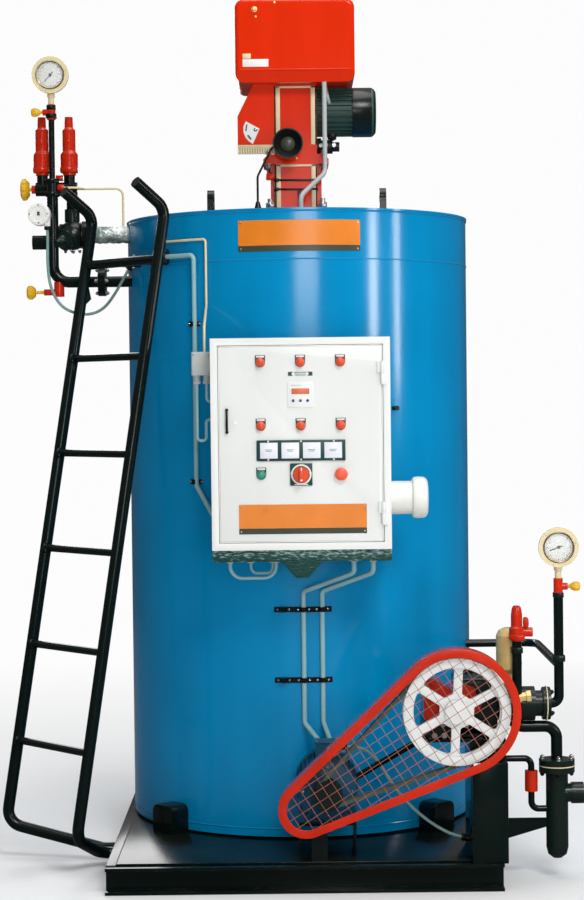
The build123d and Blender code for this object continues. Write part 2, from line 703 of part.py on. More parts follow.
def burner_neck():
    """Cast neck on the lid: a foot plate, a square throat and the flange that carries the burner."""
    plate = extrude(RectangleRounded(NECK_PLATE, NECK_PLATE, NECK_PLATE / 12), NECK_PLATE_THICKNESS)
    column = extrude(Rectangle(COLUMN_WIDTH, COLUMN_DEPTH), NECK_HEIGHT)
    section = Rectangle(NECK_WIDTH, COLUMN_DEPTH - NECK_SETBACK)
    throat = Pos(0, NECK_SETBACK / 2, 0) * extrude(section, NECK_HEIGHT)
    flange = Pos(0, 0, NECK_HEIGHT) * extrude(Rectangle(NECK_FLANGE_WIDTH, COLUMN_DEPTH), NECK_FLANGE_HEIGHT)
    flange = chamfer(flange.edges().filter_by(Axis.Y).group_by(Axis.Z)[-1], NECK_FLANGE_HEIGHT / 2)
    return Pos(0, BURNER_Y, LID_TOP) * (plate + column + throat + flange)


def burner_body():
    return Pos(0, BURNER_Y, BODY_BASE) * extrude(Rectangle(COLUMN_WIDTH, COLUMN_DEPTH), BODY_HEIGHT)


def burner_hood():
    block = extrude(Rectangle(HOOD_WIDTH, HOOD_DEPTH), HOOD_HEIGHT)
    block = fillet(block.edges().filter_by(Axis.Y), HOOD_ROUNDING)
    block = fillet(block.faces().sort_by(Axis.Y)[0].edges(), HOOD_ROUNDING / 2)
    front = -HOOD_DEPTH / 2
    fold = Polyline((front, 0), (front + HOOD_FOLD_DEPTH, 0), (front, HOOD_FOLD_HEIGHT), close=True)
    block -= extrude(Plane.YZ * make_face(fold), HOOD_WIDTH, both=True)
    return Pos(0, BURNER_Y, BODY_TOP) * block


def burner_air_box():
    """Air intake casing on the left of the burner, sloping in towards the hood."""
    inner = -COLUMN_WIDTH / 2
    outer = inner - AIR_BOX_REACH
    outline = Polyline(
        (inner, BODY_TOP),
        (outer + AIR_BOX_SLOPE, BODY_TOP),
        (outer, BODY_TOP - AIR_BOX_SHOULDER),
        (outer, BODY_TOP - AIR_BOX_HEIGHT),
        (inner, BODY_TOP - AIR_BOX_HEIGHT),
        close=True,
    )
    return extrude(at_front(BURNER_Y + AIR_BOX_DEPTH / 2) * make_face(outline), AIR_BOX_DEPTH)


def air_intake_grille():
    """Ribbed intake under the air box."""
    top = BODY_TOP - AIR_BOX_HEIGHT
    width = AIR_BOX_REACH
    middle = -COLUMN_WIDTH / 2 - width / 2
    pitch = width / (GRILLE_RIBS + 0.5)
    outline = Pos(middle, top - GRILLE_HEIGHT / 2) * Rectangle(width, GRILLE_HEIGHT)
    for rib in range(GRILLE_RIBS):
        place = Pos(middle - width / 2 + (rib + 0.75) * pitch, top - GRILLE_HEIGHT)
        outline -= place * Rectangle(pitch / 2, GRILLE_HEIGHT)
    return extrude(at_front(BURNER_Y + AIR_BOX_DEPTH / 2) * outline, AIR_BOX_DEPTH)


def finned_barrel(radius, length, fins):
    """Motor barrel along +Z with straight cooling fins round it."""
    section = Circle(radius)
    for fin in range(fins):
        section += Rot(0, 0, 360 / fins * fin) * (Pos(radius, 0) * Rectangle(2 * FIN_HEIGHT, FIN_THICKNESS))
    return extrude(section, length)


def burner_motor():
    """Fan motor on the right of the burner: a finned barrel and a fan cowl."""
    barrel = finned_barrel(BLOWER_MOTOR_RADIUS, BLOWER_MOTOR_LENGTH, FIN_COUNT)
    cowl = turned(
        [
            (BLOWER_MOTOR_LENGTH, 0),
            (BLOWER_MOTOR_LENGTH, BLOWER_COWL_RADIUS),
            (BLOWER_MOTOR_LENGTH + BLOWER_COWL_LENGTH * 0.86, BLOWER_COWL_RADIUS),
            (BLOWER_MOTOR_LENGTH + BLOWER_COWL_LENGTH, BLOWER_COWL_RADIUS * 0.86),
            (BLOWER_MOTOR_LENGTH + BLOWER_COWL_LENGTH, 0),
        ],
        (0, 0, 0),
        (0, 0, 1),
    )
    place = Plane(origin=(COLUMN_WIDTH / 2, BURNER_Y, BLOWER_MOTOR_HEIGHT), x_dir=(0, 1, 0), z_dir=(1, 0, 0))
    return place * (barrel + cowl)


def fuel_pump():
    r = FUEL_PUMP_RADIUS
    length = FUEL_PUMP_LENGTH
    profile = [
        (0, 0),
        (0, r * 1.3),
        (length * 0.2, r * 1.3),
        (length * 0.2, r),
        (length * 0.7, r),
        (length * 0.7, r * 0.7),
        (length, r * 0.7),
        (length, 0),
    ]
    return turned(profile, (COLUMN_WIDTH / 2, BURNER_Y, BODY_TOP - FUEL_PUMP_DROP), (1, 0, 0))


def alarm_horn():
    """Flared horn on the front of the burner column, with its lead down to a gland on the lid."""
    profile = [
        (0, 0),
        (0, HORN_THROAT * 1.5),
        (HORN_LENGTH * 0.35, HORN_THROAT * 1.5),
        (HORN_LENGTH * 0.45, HORN_THROAT),
        (HORN_LENGTH, HORN_MOUTH),
        (HORN_LENGTH, HORN_MOUTH - HORN_RIM),
        (HORN_LENGTH * 0.6, HORN_THROAT),
        (HORN_LENGTH * 0.75, HORN_THROAT * 0.8),
        (HORN_LENGTH * 0.75, 0),
    ]
    level = BODY_BASE + HORN_RISE - NECK_FLANGE_HEIGHT
    horn = turned(profile, (HORN_X, COLUMN_FRONT, level), (0, -1, 0))
    throat_y = COLUMN_FRONT - HORN_THROAT
    gland_x = HORN_X - HORN_LEAD_RUN
    gland_y = COLUMN_FRONT - HORN_LEAD_FORWARD
    lead = pipe(
        [
            (HORN_X - HORN_THROAT, throat_y, level),
            (HORN_X - HORN_LEAD_RUN / 2, throat_y, level),
            (gland_x, gland_y, level - HORN_LEAD_DROP),
            (gland_x, gland_y, LID_TOP),
        ],
        HORN_LEAD_BEND,
        HORN_LEAD_RADIUS,
    )
    gland = turned(
        [
            (0, 0),
            (0, LID_GLAND_RADIUS),
            (LID_GLAND_HEIGHT / 2, LID_GLAND_RADIUS),
            (LID_GLAND_HEIGHT, LID_GLAND_RADIUS / 2),
            (LID_GLAND_HEIGHT, 0),
        ],
        (gland_x, gland_y, LID_TOP),
        (0, 0, 1),
    )
    return horn + lead + gland


def hinge_half(row, side):
    """Knuckle and leaf of a door hinge: side 1 is the half on the frame and side -1 the half on the door."""
    start = PANEL_BASE + row - side * HINGE_RUN
    end = start - side * HINGE_LENGTH
    knuckle = rod((HINGE_X, HINGE_Y, start), (HINGE_X, HINGE_Y, end), HINGE_RADIUS)
    leaf = Pos(HINGE_X + side * HINGE_LEAF / 2, (start + end) / 2) * Rectangle(HINGE_LEAF, HINGE_LENGTH)
    return knuckle + extrude(at_front(PANEL_FRONT) * leaf, HINGE_STANDOFF)


def panel_box():
    """Sheet enclosure with a rebated front that the door closes into."""
    middle = Pos(PANEL_X, 0, PANEL_MIDDLE)
    outside = at_front(0) * Rectangle(PANEL_WIDTH, PANEL_HEIGHT)
    box = extrude(outside, PANEL_DEPTH)
    clear_width = PANEL_WIDTH - 2 * PANEL_SHEET
    clear_height = PANEL_HEIGHT - 2 * PANEL_SHEET
    doorway = Rectangle(DOOR_WIDTH + 2 * DOOR_GAP, DOOR_HEIGHT + 2 * DOOR_GAP)
    mouth = Rectangle(DOOR_WIDTH - 2 * REBATE_LIP, DOOR_HEIGHT - 2 * REBATE_LIP)
    rebate = DOOR_THICKNESS + DOOR_GAP
    inside_depth = PANEL_DEPTH - PANEL_SHEET - rebate - PANEL_SHEET
    box -= extrude(at_front(-PANEL_SHEET) * Rectangle(clear_width, clear_height), inside_depth)
    box -= extrude(at_front(-PANEL_DEPTH + rebate) * doorway, rebate)
    box -= extrude(at_front(-PANEL_DEPTH + rebate + 2 * PANEL_SHEET) * mouth, rebate)
    box = Pos(0, PANEL_BACK, 0) * middle * box
    for row in HINGE_ROWS:
        foot = PANEL_BASE + row - HINGE_LENGTH
        box += hinge_half(row, 1)
        box += rod((HINGE_X, HINGE_Y, foot), (HINGE_X, HINGE_Y, foot + 2 * HINGE_LENGTH), HINGE_PIN)
    return box


def panel_mounting_plate():
    """Back plate inside the enclosure, on stand-off studs."""
    width = PANEL_WIDTH - 2 * (PANEL_SHEET + MOUNT_PLATE_MARGIN)
    height = PANEL_HEIGHT - 2 * (PANEL_SHEET + MOUNT_PLATE_MARGIN)
    back = PANEL_BACK - PANEL_SHEET
    plate = extrude(at_front(back - MOUNT_PLATE_STANDOFF) * Rectangle(width, height), MOUNT_PLATE_THICKNESS)
    for place in GridLocations(width - MOUNT_PLATE_MARGIN, height - MOUNT_PLATE_MARGIN, 2, 2):
        plate += extrude(at_front(back) * place * Circle(MOUNT_STUD_RADIUS), MOUNT_PLATE_STANDOFF)
    return Pos(PANEL_X, 0, PANEL_MIDDLE) * plate


def panel_bracket():
    """Shelf and tapered strut under the panel, and four packers behind it, all seated on the shell."""
    shelf_front = PANEL_FRONT + SHELF_SETBACK
    inside = at_front(-SHELL_RADIUS / 2)
    edge = Pos(PANEL_X, PANEL_BASE - SHELF_HEIGHT / 2) * Rectangle(PANEL_WIDTH, SHELF_HEIGHT)
    shelf = extrude(inside * edge, -SHELL_RADIUS / 2 - shelf_front)
    top = PANEL_BASE - SHELF_HEIGHT
    taper = make_face(
        Polyline(
            (PANEL_X - STRUT_WIDTH / 2, top),
            (PANEL_X + STRUT_WIDTH / 2, top),
            (PANEL_X + STRUT_TIP / 2, top - STRUT_HEIGHT),
            (PANEL_X - STRUT_TIP / 2, top - STRUT_HEIGHT),
            close=True,
        )
    )
    strut = extrude(inside * taper, -SHELL_RADIUS / 2 - shelf_front)
    cutter = shell_cutter(SHELL_HEIGHT, SHELL_BASE)
    packer_width = PANEL_FRAME * 2
    packers = []
    for i in (-1, 1):
        for j in (-1, 1):
            x = PANEL_X + i * PANEL_WIDTH / 3
            z = PANEL_MIDDLE + j * PANEL_HEIGHT / 3
            outline = Pos(x, z) * Rectangle(packer_width, packer_width)
            packers.append(extrude(inside * outline, -SHELL_RADIUS / 2 - PANEL_BACK) - cutter)
    return [(shelf + strut) - cutter, *packers]


def panel_sounder():
    """White alarm sounder on the panel's right side."""
    bell = SOUNDER_LENGTH - SOUNDER_BELL_LENGTH
    profile = [
        (0, 0),
        (0, SOUNDER_RADIUS),
        (bell, SOUNDER_RADIUS),
        (bell, SOUNDER_BELL),
        (SOUNDER_LENGTH - SOUNDER_BELL_LENGTH * 0.4, SOUNDER_BELL),
        (SOUNDER_LENGTH, SOUNDER_BELL * 0.7),
        (SOUNDER_LENGTH, 0),
    ]
    origin = (PANEL_X + PANEL_WIDTH / 2, (PANEL_BACK + PANEL_FRONT) / 2, PANEL_BASE + SOUNDER_ROW)
    return turned(profile, origin, (1, 0, 0))


def junction_box():
    """Small box with two cable glands on the panel's left side."""
    right = PANEL_X - PANEL_WIDTH / 2
    base = PANEL_BASE + JUNCTION_ROW
    y = (PANEL_BACK + PANEL_FRONT) / 2
    box = extrude(Rectangle(JUNCTION_WIDTH, JUNCTION_DEPTH), JUNCTION_HEIGHT)
    box = fillet(box.edges().filter_by(Axis.Z), GLAND_RADIUS / 2)
    for side in (-1, 1):
        gland = Pos(side * JUNCTION_WIDTH / 4, 0, -GLAND_LENGTH) * extrude(Circle(GLAND_RADIUS), GLAND_LENGTH)
        box += gland
    return Pos(right - JUNCTION_WIDTH / 2, y, base) * box


def panel_door():
    """Pan door with turned-in edges."""
    outline = Rectangle(DOOR_WIDTH, DOOR_HEIGHT)
    door = extrude(at_front(PANEL_FRONT + DOOR_THICKNESS) * outline, DOOR_THICKNESS)
    pan = Rectangle(DOOR_WIDTH - 2 * DOOR_SHEET, DOOR_HEIGHT - 2 * DOOR_SHEET)
    door -= extrude(at_front(PANEL_FRONT + DOOR_THICKNESS) * pan, DOOR_THICKNESS - DOOR_SHEET)
    door = Pos(PANEL_X, 0, PANEL_MIDDLE) * door
    for row in HINGE_ROWS:
        foot = PANEL_BASE + row - HINGE_LENGTH
        head = foot + 3 * HINGE_LENGTH
        bore = rod((HINGE_X, HINGE_Y, foot), (HINGE_X, HINGE_Y, head), HINGE_PIN + HINGE_RUN)
        door += hinge_half(row, -1) - bore
    return door


def on_door(x, row):
    """Place on the door's face: x from the panel's middle and row up from the panel's foot."""
    return Pos(PANEL_X + x, PANEL_FRONT, PANEL_BASE + row)


def lamps_and_buttons():
    """Two rows of pilot lamps, a start button and a larger stop button."""
    lamp = turned(
        [
            (0, 0),
            (0, LAMP_RADIUS),
            (LAMP_PROJECTION * 0.6, LAMP_RADIUS),
            (LAMP_PROJECTION, LAMP_RADIUS * 0.6),
            (LAMP_PROJECTION, 0),
        ],
        (0, 0, 0),
        (0, -1, 0),
    )
    stop = turned(
        [
            (0, 0),
            (0, LAMP_RADIUS),
            (LAMP_PROJECTION * 0.7, LAMP_RADIUS),
            (LAMP_PROJECTION * 0.7, STOP_RADIUS),
            (LAMP_PROJECTION * 1.4, STOP_RADIUS),
            (LAMP_PROJECTION * 1.7, STOP_RADIUS * 0.7),
            (LAMP_PROJECTION * 1.7, 0),
        ],
        (0, 0, 0),
        (0, -1, 0),
    )
    pieces = [on_door(column * LAMP_PITCH, row) * lamp for row in LAMP_ROWS for column in (-1, 0, 1)]
    pieces.append(on_door(-LAMP_PITCH, BUTTON_ROW) * lamp)
    pieces.append(on_door(LAMP_PITCH, BUTTON_ROW) * stop)
    return pieces


def fault_windows():
    """Row of four fault windows in one frame."""
    frame = extrude(at_front(0) * Rectangle(WINDOWS_WIDTH, WINDOWS_HEIGHT), FACE_PLATE)
    pane = WINDOWS_WIDTH / WINDOWS_COUNT * WINDOW_SHARE
    for place in GridLocations(WINDOWS_WIDTH / WINDOWS_COUNT, 0, WINDOWS_COUNT, 1):
        frame -= extrude(at_front(-FACE_PLATE / 2) * place * Rectangle(pane, pane), FACE_PLATE)
    return on_door(0, WINDOWS_ROW) * frame


def temperature_controller():
    bezel = extrude(at_front(0) * RectangleRounded(CONTROLLER_SIZE, CONTROLLER_SIZE, FACE_PLATE), FACE_PLATE)
    display = Pos(0, CONTROLLER_SIZE / 6) * Rectangle(CONTROLLER_SIZE * 0.7, CONTROLLER_SIZE / 4)
    bezel -= extrude(at_front(-FACE_PLATE / 2) * display, FACE_PLATE)
    return on_door(0, CONTROLLER_ROW) * bezel


def switch_plate():
    return on_door(0, BUTTON_ROW) * extrude(at_front(0) * Rectangle(SWITCH_PLATE, SWITCH_PLATE), FACE_PLATE)


def door_instruments():
    """Fault windows, temperature controller and the main switch's plate."""
    return [fault_windows(), temperature_controller(), switch_plate()]


def switch_knob():
    """Round knob of the main switch with a raised grip across it."""
    knob = extrude(at_front(0) * Circle(SWITCH_RADIUS), SWITCH_PROJECTION / 2)
    grip = RectangleRounded(SWITCH_RADIUS / 2, SWITCH_RADIUS * 1.9, SWITCH_RADIUS / 5)
    knob += extrude(at_front(-SWITCH_PROJECTION / 2) * grip, SWITCH_PROJECTION / 2)
    return on_door(0, BUTTON_ROW) * Pos(0, -FACE_PLATE - STEM_GAP, 0) * knob


def door_handle():
    """Lever handle near the door's free edge."""
    outline = RectangleRounded(HANDLE_WIDTH, HANDLE_LENGTH, HANDLE_WIDTH * 0.4)
    lever = extrude(at_front(0) * outline, FACE_PLATE * 2)
    return on_door(-DOOR_WIDTH / 2 + HANDLE_INSET, HANDLE_ROW) * lever


def ladder_point(side, height):
    """Point on a stile's line: side 0 is the stile nearer the front and side 1 the other."""
    share = (height - LADDER_FOOT[2]) / (LADDER_TOP - LADDER_FOOT[2])
    turn = math.radians(LADDER_TURN)
    return (
        LADDER_FOOT[0] + share * LADDER_LEAN[0] - side * STILE_PITCH * math.cos(turn),
        LADDER_FOOT[1] + share * LADDER_LEAN[1] + side * STILE_PITCH * math.sin(turn),
        height,
    )


def ladder_stiles():
    """Two bent pipes: a foot that runs in to the skid, a leaning stile and a handle that curls outwards."""
    turn = math.radians(LADDER_TURN)
    out = (-math.sin(turn), -math.cos(turn))
    web = -SKID_WIDTH / 2 + RAIL_FLANGE - RAIL_WEB - SEAT_GAP
    stiles = []
    for side in (0, 1):
        foot = ladder_point(side, LADDER_FOOT[2])
        top = ladder_point(side, LADDER_TOP)
        tip = (top[0] + out[0] * HANDLE_REACH, top[1] + out[1] * HANDLE_REACH, LADDER_TOP + HANDLE_RISE)
        y = LADDER_FOOT[1] + LADDER_ANCHOR + side * LADDER_ANCHOR_PITCH
        anchor = (web, y, RAIL_HEIGHT / 2)
        knee = (web - LADDER_KNEE, y, RAIL_HEIGHT / 2)
        stiles.append(pipe([anchor, knee, foot, top, tip], STILE_BEND, STILE_RADIUS))
    return stiles


def stile_line(side, low, high):
    """Round bar a hair wider than a stile, for trimming what is welded to it."""
    return rod(ladder_point(side, low), ladder_point(side, high), STILE_RADIUS + SEAT_GAP)


def ladder_rungs():
    rungs = []
    for step in range(RUNG_COUNT):
        height = FIRST_RUNG + step * RUNG_SPACING
        rung = rod(ladder_point(0, height), ladder_point(1, height), RUNG_RADIUS)
        for side in (0, 1):
            rung -= stile_line(side, height - 2 * RUNG_SPACING, height + RUNG_SPACING)
        rungs.append(rung.solids().sort_by(SortBy.VOLUME)[-1])
    return rungs


def ladder_brackets():
    """Tie bar between the stiles with two arms to the shell."""
    height = FIRST_RUNG + RUNG_COUNT * RUNG_SPACING
    bar = rod(ladder_point(0, height), ladder_point(1, height), TIE_RADIUS)
    for share in TIE_ARMS:
        x, y, z = ladder_point(share, height)
        bar += rod((x, y, z), (x / 2, y / 2, z), RUNG_RADIUS)
    bar -= shell_cutter(SHELL_HEIGHT, SHELL_BASE)
    for side in (0, 1):
        bar -= stile_line(side, height - RUNG_SPACING, LADDER_TOP)
    return bar.solids().sort_by(SortBy.VOLUME)[-1]


def steam_header():
    """Standpipe, cross header, safety valve nipples and the open steam outlet, joined as one pipe run."""
    shell_side = -math.sqrt(SHELL_RADIUS ** 2 - STEAM_Y ** 2)
    corner = (STANDPIPE_X, STEAM_Y, STANDPIPE_BASE)
    root = (shell_side + PIPE_RADIUS, STEAM_Y, STANDPIPE_BASE)
    crown = (STANDPIPE_X, STEAM_Y, HEADER_HEIGHT + HEADER_RADIUS)
    run = pipe([root, corner, crown], STANDPIPE_BEND, PIPE_RADIUS)
    run -= shell_cutter(SHELL_HEIGHT, SHELL_BASE)
    run += rod(crown, (STANDPIPE_X, STEAM_Y, STANDPIPE_TOP), GAUGE_PIPE_RADIUS)
    run += rod((HEADER_LEFT, HEADER_Y, HEADER_HEIGHT), (HEADER_RIGHT, HEADER_Y, HEADER_HEIGHT), HEADER_RADIUS)
    run += rod((STANDPIPE_X, STEAM_Y, HEADER_HEIGHT), (STANDPIPE_X, HEADER_Y, HEADER_HEIGHT), TEE_RADIUS)
    for offset in SAFETY_OFFSETS:
        x = STANDPIPE_X + offset
        run += rod((x, HEADER_Y, HEADER_HEIGHT), (x, HEADER_Y, SAFETY_BASE), PIPE_RADIUS)
    valve_top = (STEAM_VALVE_X, HEADER_Y, STEAM_VALVE_TOP)
    run += rod((STEAM_VALVE_X, HEADER_Y, HEADER_HEIGHT), valve_top, PIPE_RADIUS)
    half = LOWER_FLANGE_THICKNESS / 2
    run += rod(
        (LOWER_FLANGE_X - half, STEAM_Y, STANDPIPE_BASE),
        (LOWER_FLANGE_X + half, STEAM_Y, STANDPIPE_BASE),
        LOWER_FLANGE_RADIUS,
    )
    mouth = (STANDPIPE_X - OUTLET_LENGTH, STEAM_Y, OUTLET_HEIGHT)
    run += rod((STANDPIPE_X, STEAM_Y, OUTLET_HEIGHT), mouth, OUTLET_RADIUS)
    run -= rod(mouth, (mouth[0] + OUTLET_BORE_LENGTH, STEAM_Y, OUTLET_HEIGHT), OUTLET_BORE)
    return run


def steam_valve():
    """Round valve body hung under the header, with a flange towards the shell."""
    centre = (STEAM_VALVE_X, HEADER_Y, STEAM_LINE_HEIGHT)
    body = Pos(*centre) * Sphere(STEAM_VALVE_RADIUS)
    body += rod(centre, (STEAM_VALVE_X, HEADER_Y, STEAM_VALVE_TOP), STEAM_VALVE_RADIUS / 2)
    face = (STEAM_VALVE_X + STEAM_VALVE_REACH, HEADER_Y, STEAM_LINE_HEIGHT)
    body += rod(centre, face, STEAM_LINE_RADIUS)
    flange_back = (face[0] - LOWER_FLANGE_THICKNESS, HEADER_Y, STEAM_LINE_HEIGHT)
    return body + rod(face, flange_back, LOWER_FLANGE_RADIUS)


def steam_pipe():
    """Lagged pipe from the steam valve to the shell."""
    start = (STEAM_VALVE_X + STEAM_VALVE_REACH, HEADER_Y, STEAM_LINE_HEIGHT)
    end = (-SHELL_RADIUS / 2, HEADER_Y, STEAM_LINE_HEIGHT)
    return rod(start, end, STEAM_LINE_RADIUS) - shell_cutter(SHELL_HEIGHT, SHELL_BASE)


def safety_valve(height, radius):
    """Spring safety valve standing on z = 0: inlet hexagon, skirt, spring bonnet and cap."""
    profile = [
        (0, 0),
        (0, radius * 0.75),
        (height * 0.08, radius * 0.75),
        (height * 0.12, radius),
        (height * 0.36, radius),
        (height * 0.42, radius * 0.75),
        (height * 0.78, radius * 0.75),
        (height * 0.82, radius * 0.5),
        (height, radius * 0.45),
        (height, 0),
    ]
    return turned(profile, (0, 0, 0), (0, 0, 1))


def safety_valves():
    """Two safety valves on the steam header and the relief valve of the pump."""
    valve = safety_valve(SAFETY_HEIGHT, SAFETY_RADIUS)
    valves = [Pos(STANDPIPE_X + offset, HEADER_Y, SAFETY_BASE) * valve for offset in SAFETY_OFFSETS]
    branch = rod((0, 0, RELIEF_HEIGHT / 4), (RELIEF_BRANCH, 0, RELIEF_HEIGHT / 4), COCK_RADIUS)
    relief = safety_valve(RELIEF_HEIGHT, RELIEF_RADIUS) + branch
    valves.append(Pos(RELIEF_X, RELIEF_Y, RELIEF_BASE) * relief)
    return valves


def gauge(x, y, height, stem_base):
    """Dial gauge facing the front on a stem that starts at stem_base."""
    half = GAUGE_DEPTH / 2
    profile = [
        (-half, 0),
        (-half, GAUGE_CASE_RADIUS * 0.9),
        (-half + GAUGE_RIM, GAUGE_CASE_RADIUS),
        (half - 2 * GAUGE_RIM, GAUGE_CASE_RADIUS),
        (half - 2 * GAUGE_RIM, GAUGE_FLANGE_RADIUS),
        (half, GAUGE_FLANGE_RADIUS),
        (half, GAUGE_CASE_RADIUS),
        (half - GAUGE_RIM, GAUGE_CASE_RADIUS),
        (half - GAUGE_RIM, 0),
    ]
    dial = turned(profile, (x, y, height), (0, -1, 0))
    return dial + rod((x, y, stem_base), (x, y, height - GAUGE_CASE_RADIUS / 2), GAUGE_PIPE_RADIUS)


def pressure_gauges():
    return [
        gauge(STANDPIPE_X, STEAM_Y, STANDPIPE_TOP + COCK_HEIGHT + GAUGE_RISE, STANDPIPE_TOP + COCK_HEIGHT),
        gauge(FEED_GAUGE_X, PUMP_Y, FEED_COCK_BASE + COCK_HEIGHT + GAUGE_RISE, FEED_COCK_BASE + COCK_HEIGHT),
    ]


def gauge_cock(x, y, base, heading):
    """Cock under a gauge, with its gland boss pointing along X."""
    body = rod((x, y, base), (x, y, base + COCK_HEIGHT), COCK_RADIUS)
    middle = base + COCK_HEIGHT / 2
    return body + rod((x, y, middle), (x + heading * COCK_BOSS, y, middle), COCK_RADIUS * 0.75)


def valve_bodies():
    """Two gauge cocks, the vent valve, the standpipe's drain valve and the pump's drain valve."""
    header_end = (HEADER_LEFT, HEADER_Y, HEADER_HEIGHT)
    vent = rod((HEADER_LEFT - COCK_RADIUS, HEADER_Y, HEADER_HEIGHT), header_end, COCK_RADIUS)
    foot = (DRAIN_X, STEAM_Y, STANDPIPE_BASE - DRAIN_DROP)
    drain = rod((DRAIN_X, STEAM_Y, STANDPIPE_BASE), foot, COCK_RADIUS * 1.2)
    boss = (DRAIN_X - DRAIN_REACH, STEAM_Y, DRAIN_LEVEL)
    drain += rod((DRAIN_X, STEAM_Y, DRAIN_LEVEL), boss, COCK_RADIUS * 0.75)
    drain -= steam_header()
    crown = DRAIN_VALVE_BASE + DRAIN_VALVE_HEIGHT
    seat = (DRAIN_VALVE_X, PUMP_Y, DRAIN_VALVE_BASE)
    pump_drain = rod(seat, (DRAIN_VALVE_X, PUMP_Y, crown), DRAIN_VALVE_RADIUS)
    return [
        gauge_cock(STANDPIPE_X, STEAM_Y, STANDPIPE_TOP, -1),
        gauge_cock(FEED_GAUGE_X, PUMP_Y, FEED_COCK_BASE, 1),
        vent,
        drain.solids().sort_by(SortBy.VOLUME)[-1],
        pump_drain,
    ]


def handwheel(x, y, z, heading, radius, stem):
    """Ribbed knob on a round stem along X, starting a hair's breadth off the gland at x."""
    origin = (x + heading * STEM_GAP, y, z)
    profile = [
        (0, 0),
        (0, STEM_RADIUS),
        (stem, STEM_RADIUS),
        (stem, radius * 0.6),
        (stem + KNOB_LENGTH * 0.4, radius),
        (stem + KNOB_LENGTH * 0.8, radius),
        (stem + KNOB_LENGTH, radius * 0.7),
        (stem + KNOB_LENGTH, 0),
    ]
    return turned(profile, origin, (heading, 0, 0))


def steam_cock_knob():
    middle = STANDPIPE_TOP + COCK_HEIGHT / 2
    return handwheel(STANDPIPE_X - COCK_BOSS, STEAM_Y, middle, -1, KNOB_RADIUS * 0.6, COCK_BOSS / 3)


def vent_knob():
    face = HEADER_LEFT - COCK_RADIUS
    return handwheel(face, HEADER_Y, HEADER_HEIGHT, -1, VENT_KNOB_RADIUS, COCK_RADIUS / 2)


def drain_knob():
    return handwheel(DRAIN_X - DRAIN_REACH, STEAM_Y, DRAIN_LEVEL, -1, KNOB_RADIUS, COCK_BOSS)


def feed_cock_knob():
    middle = FEED_COCK_BASE + COCK_HEIGHT / 2
    return handwheel(FEED_GAUGE_X + COCK_BOSS, PUMP_Y, middle, 1, KNOB_RADIUS * 0.6, COCK_BOSS / 3)


def pressure_switch():
    """Round switch facing the front on a nipple from the standpipe, with a cable gland under it."""
    centre = (PRESSURE_SWITCH_X, PRESSURE_SWITCH_BACK, PRESSURE_SWITCH_HEIGHT)
    case = turned(
        [
            (0, 0),
            (0, PRESSURE_SWITCH_RADIUS),
            (PRESSURE_SWITCH_DEPTH * 0.8, PRESSURE_SWITCH_RADIUS),
            (PRESSURE_SWITCH_DEPTH, PRESSURE_SWITCH_RADIUS * 0.8),
            (PRESSURE_SWITCH_DEPTH, 0),
        ],
        centre,
        (0, -1, 0),
    )
    root = (STANDPIPE_X, STEAM_Y, PRESSURE_SWITCH_HEIGHT)
    seat = (PRESSURE_SWITCH_X, PRESSURE_SWITCH_BACK - GLAND_RADIUS, PRESSURE_SWITCH_HEIGHT)
    nipple = rod(root, seat, GLAND_RADIUS)
    nipple -= rod((STANDPIPE_X, STEAM_Y, OUTLET_HEIGHT), (STANDPIPE_X, STEAM_Y, HEADER_HEIGHT), PIPE_RADIUS)
    x, y, tip = SWITCH_CABLE_START
    return case + nipple + rod((x, y, PRESSURE_SWITCH_HEIGHT), (x, y, tip), CABLE_GLAND)


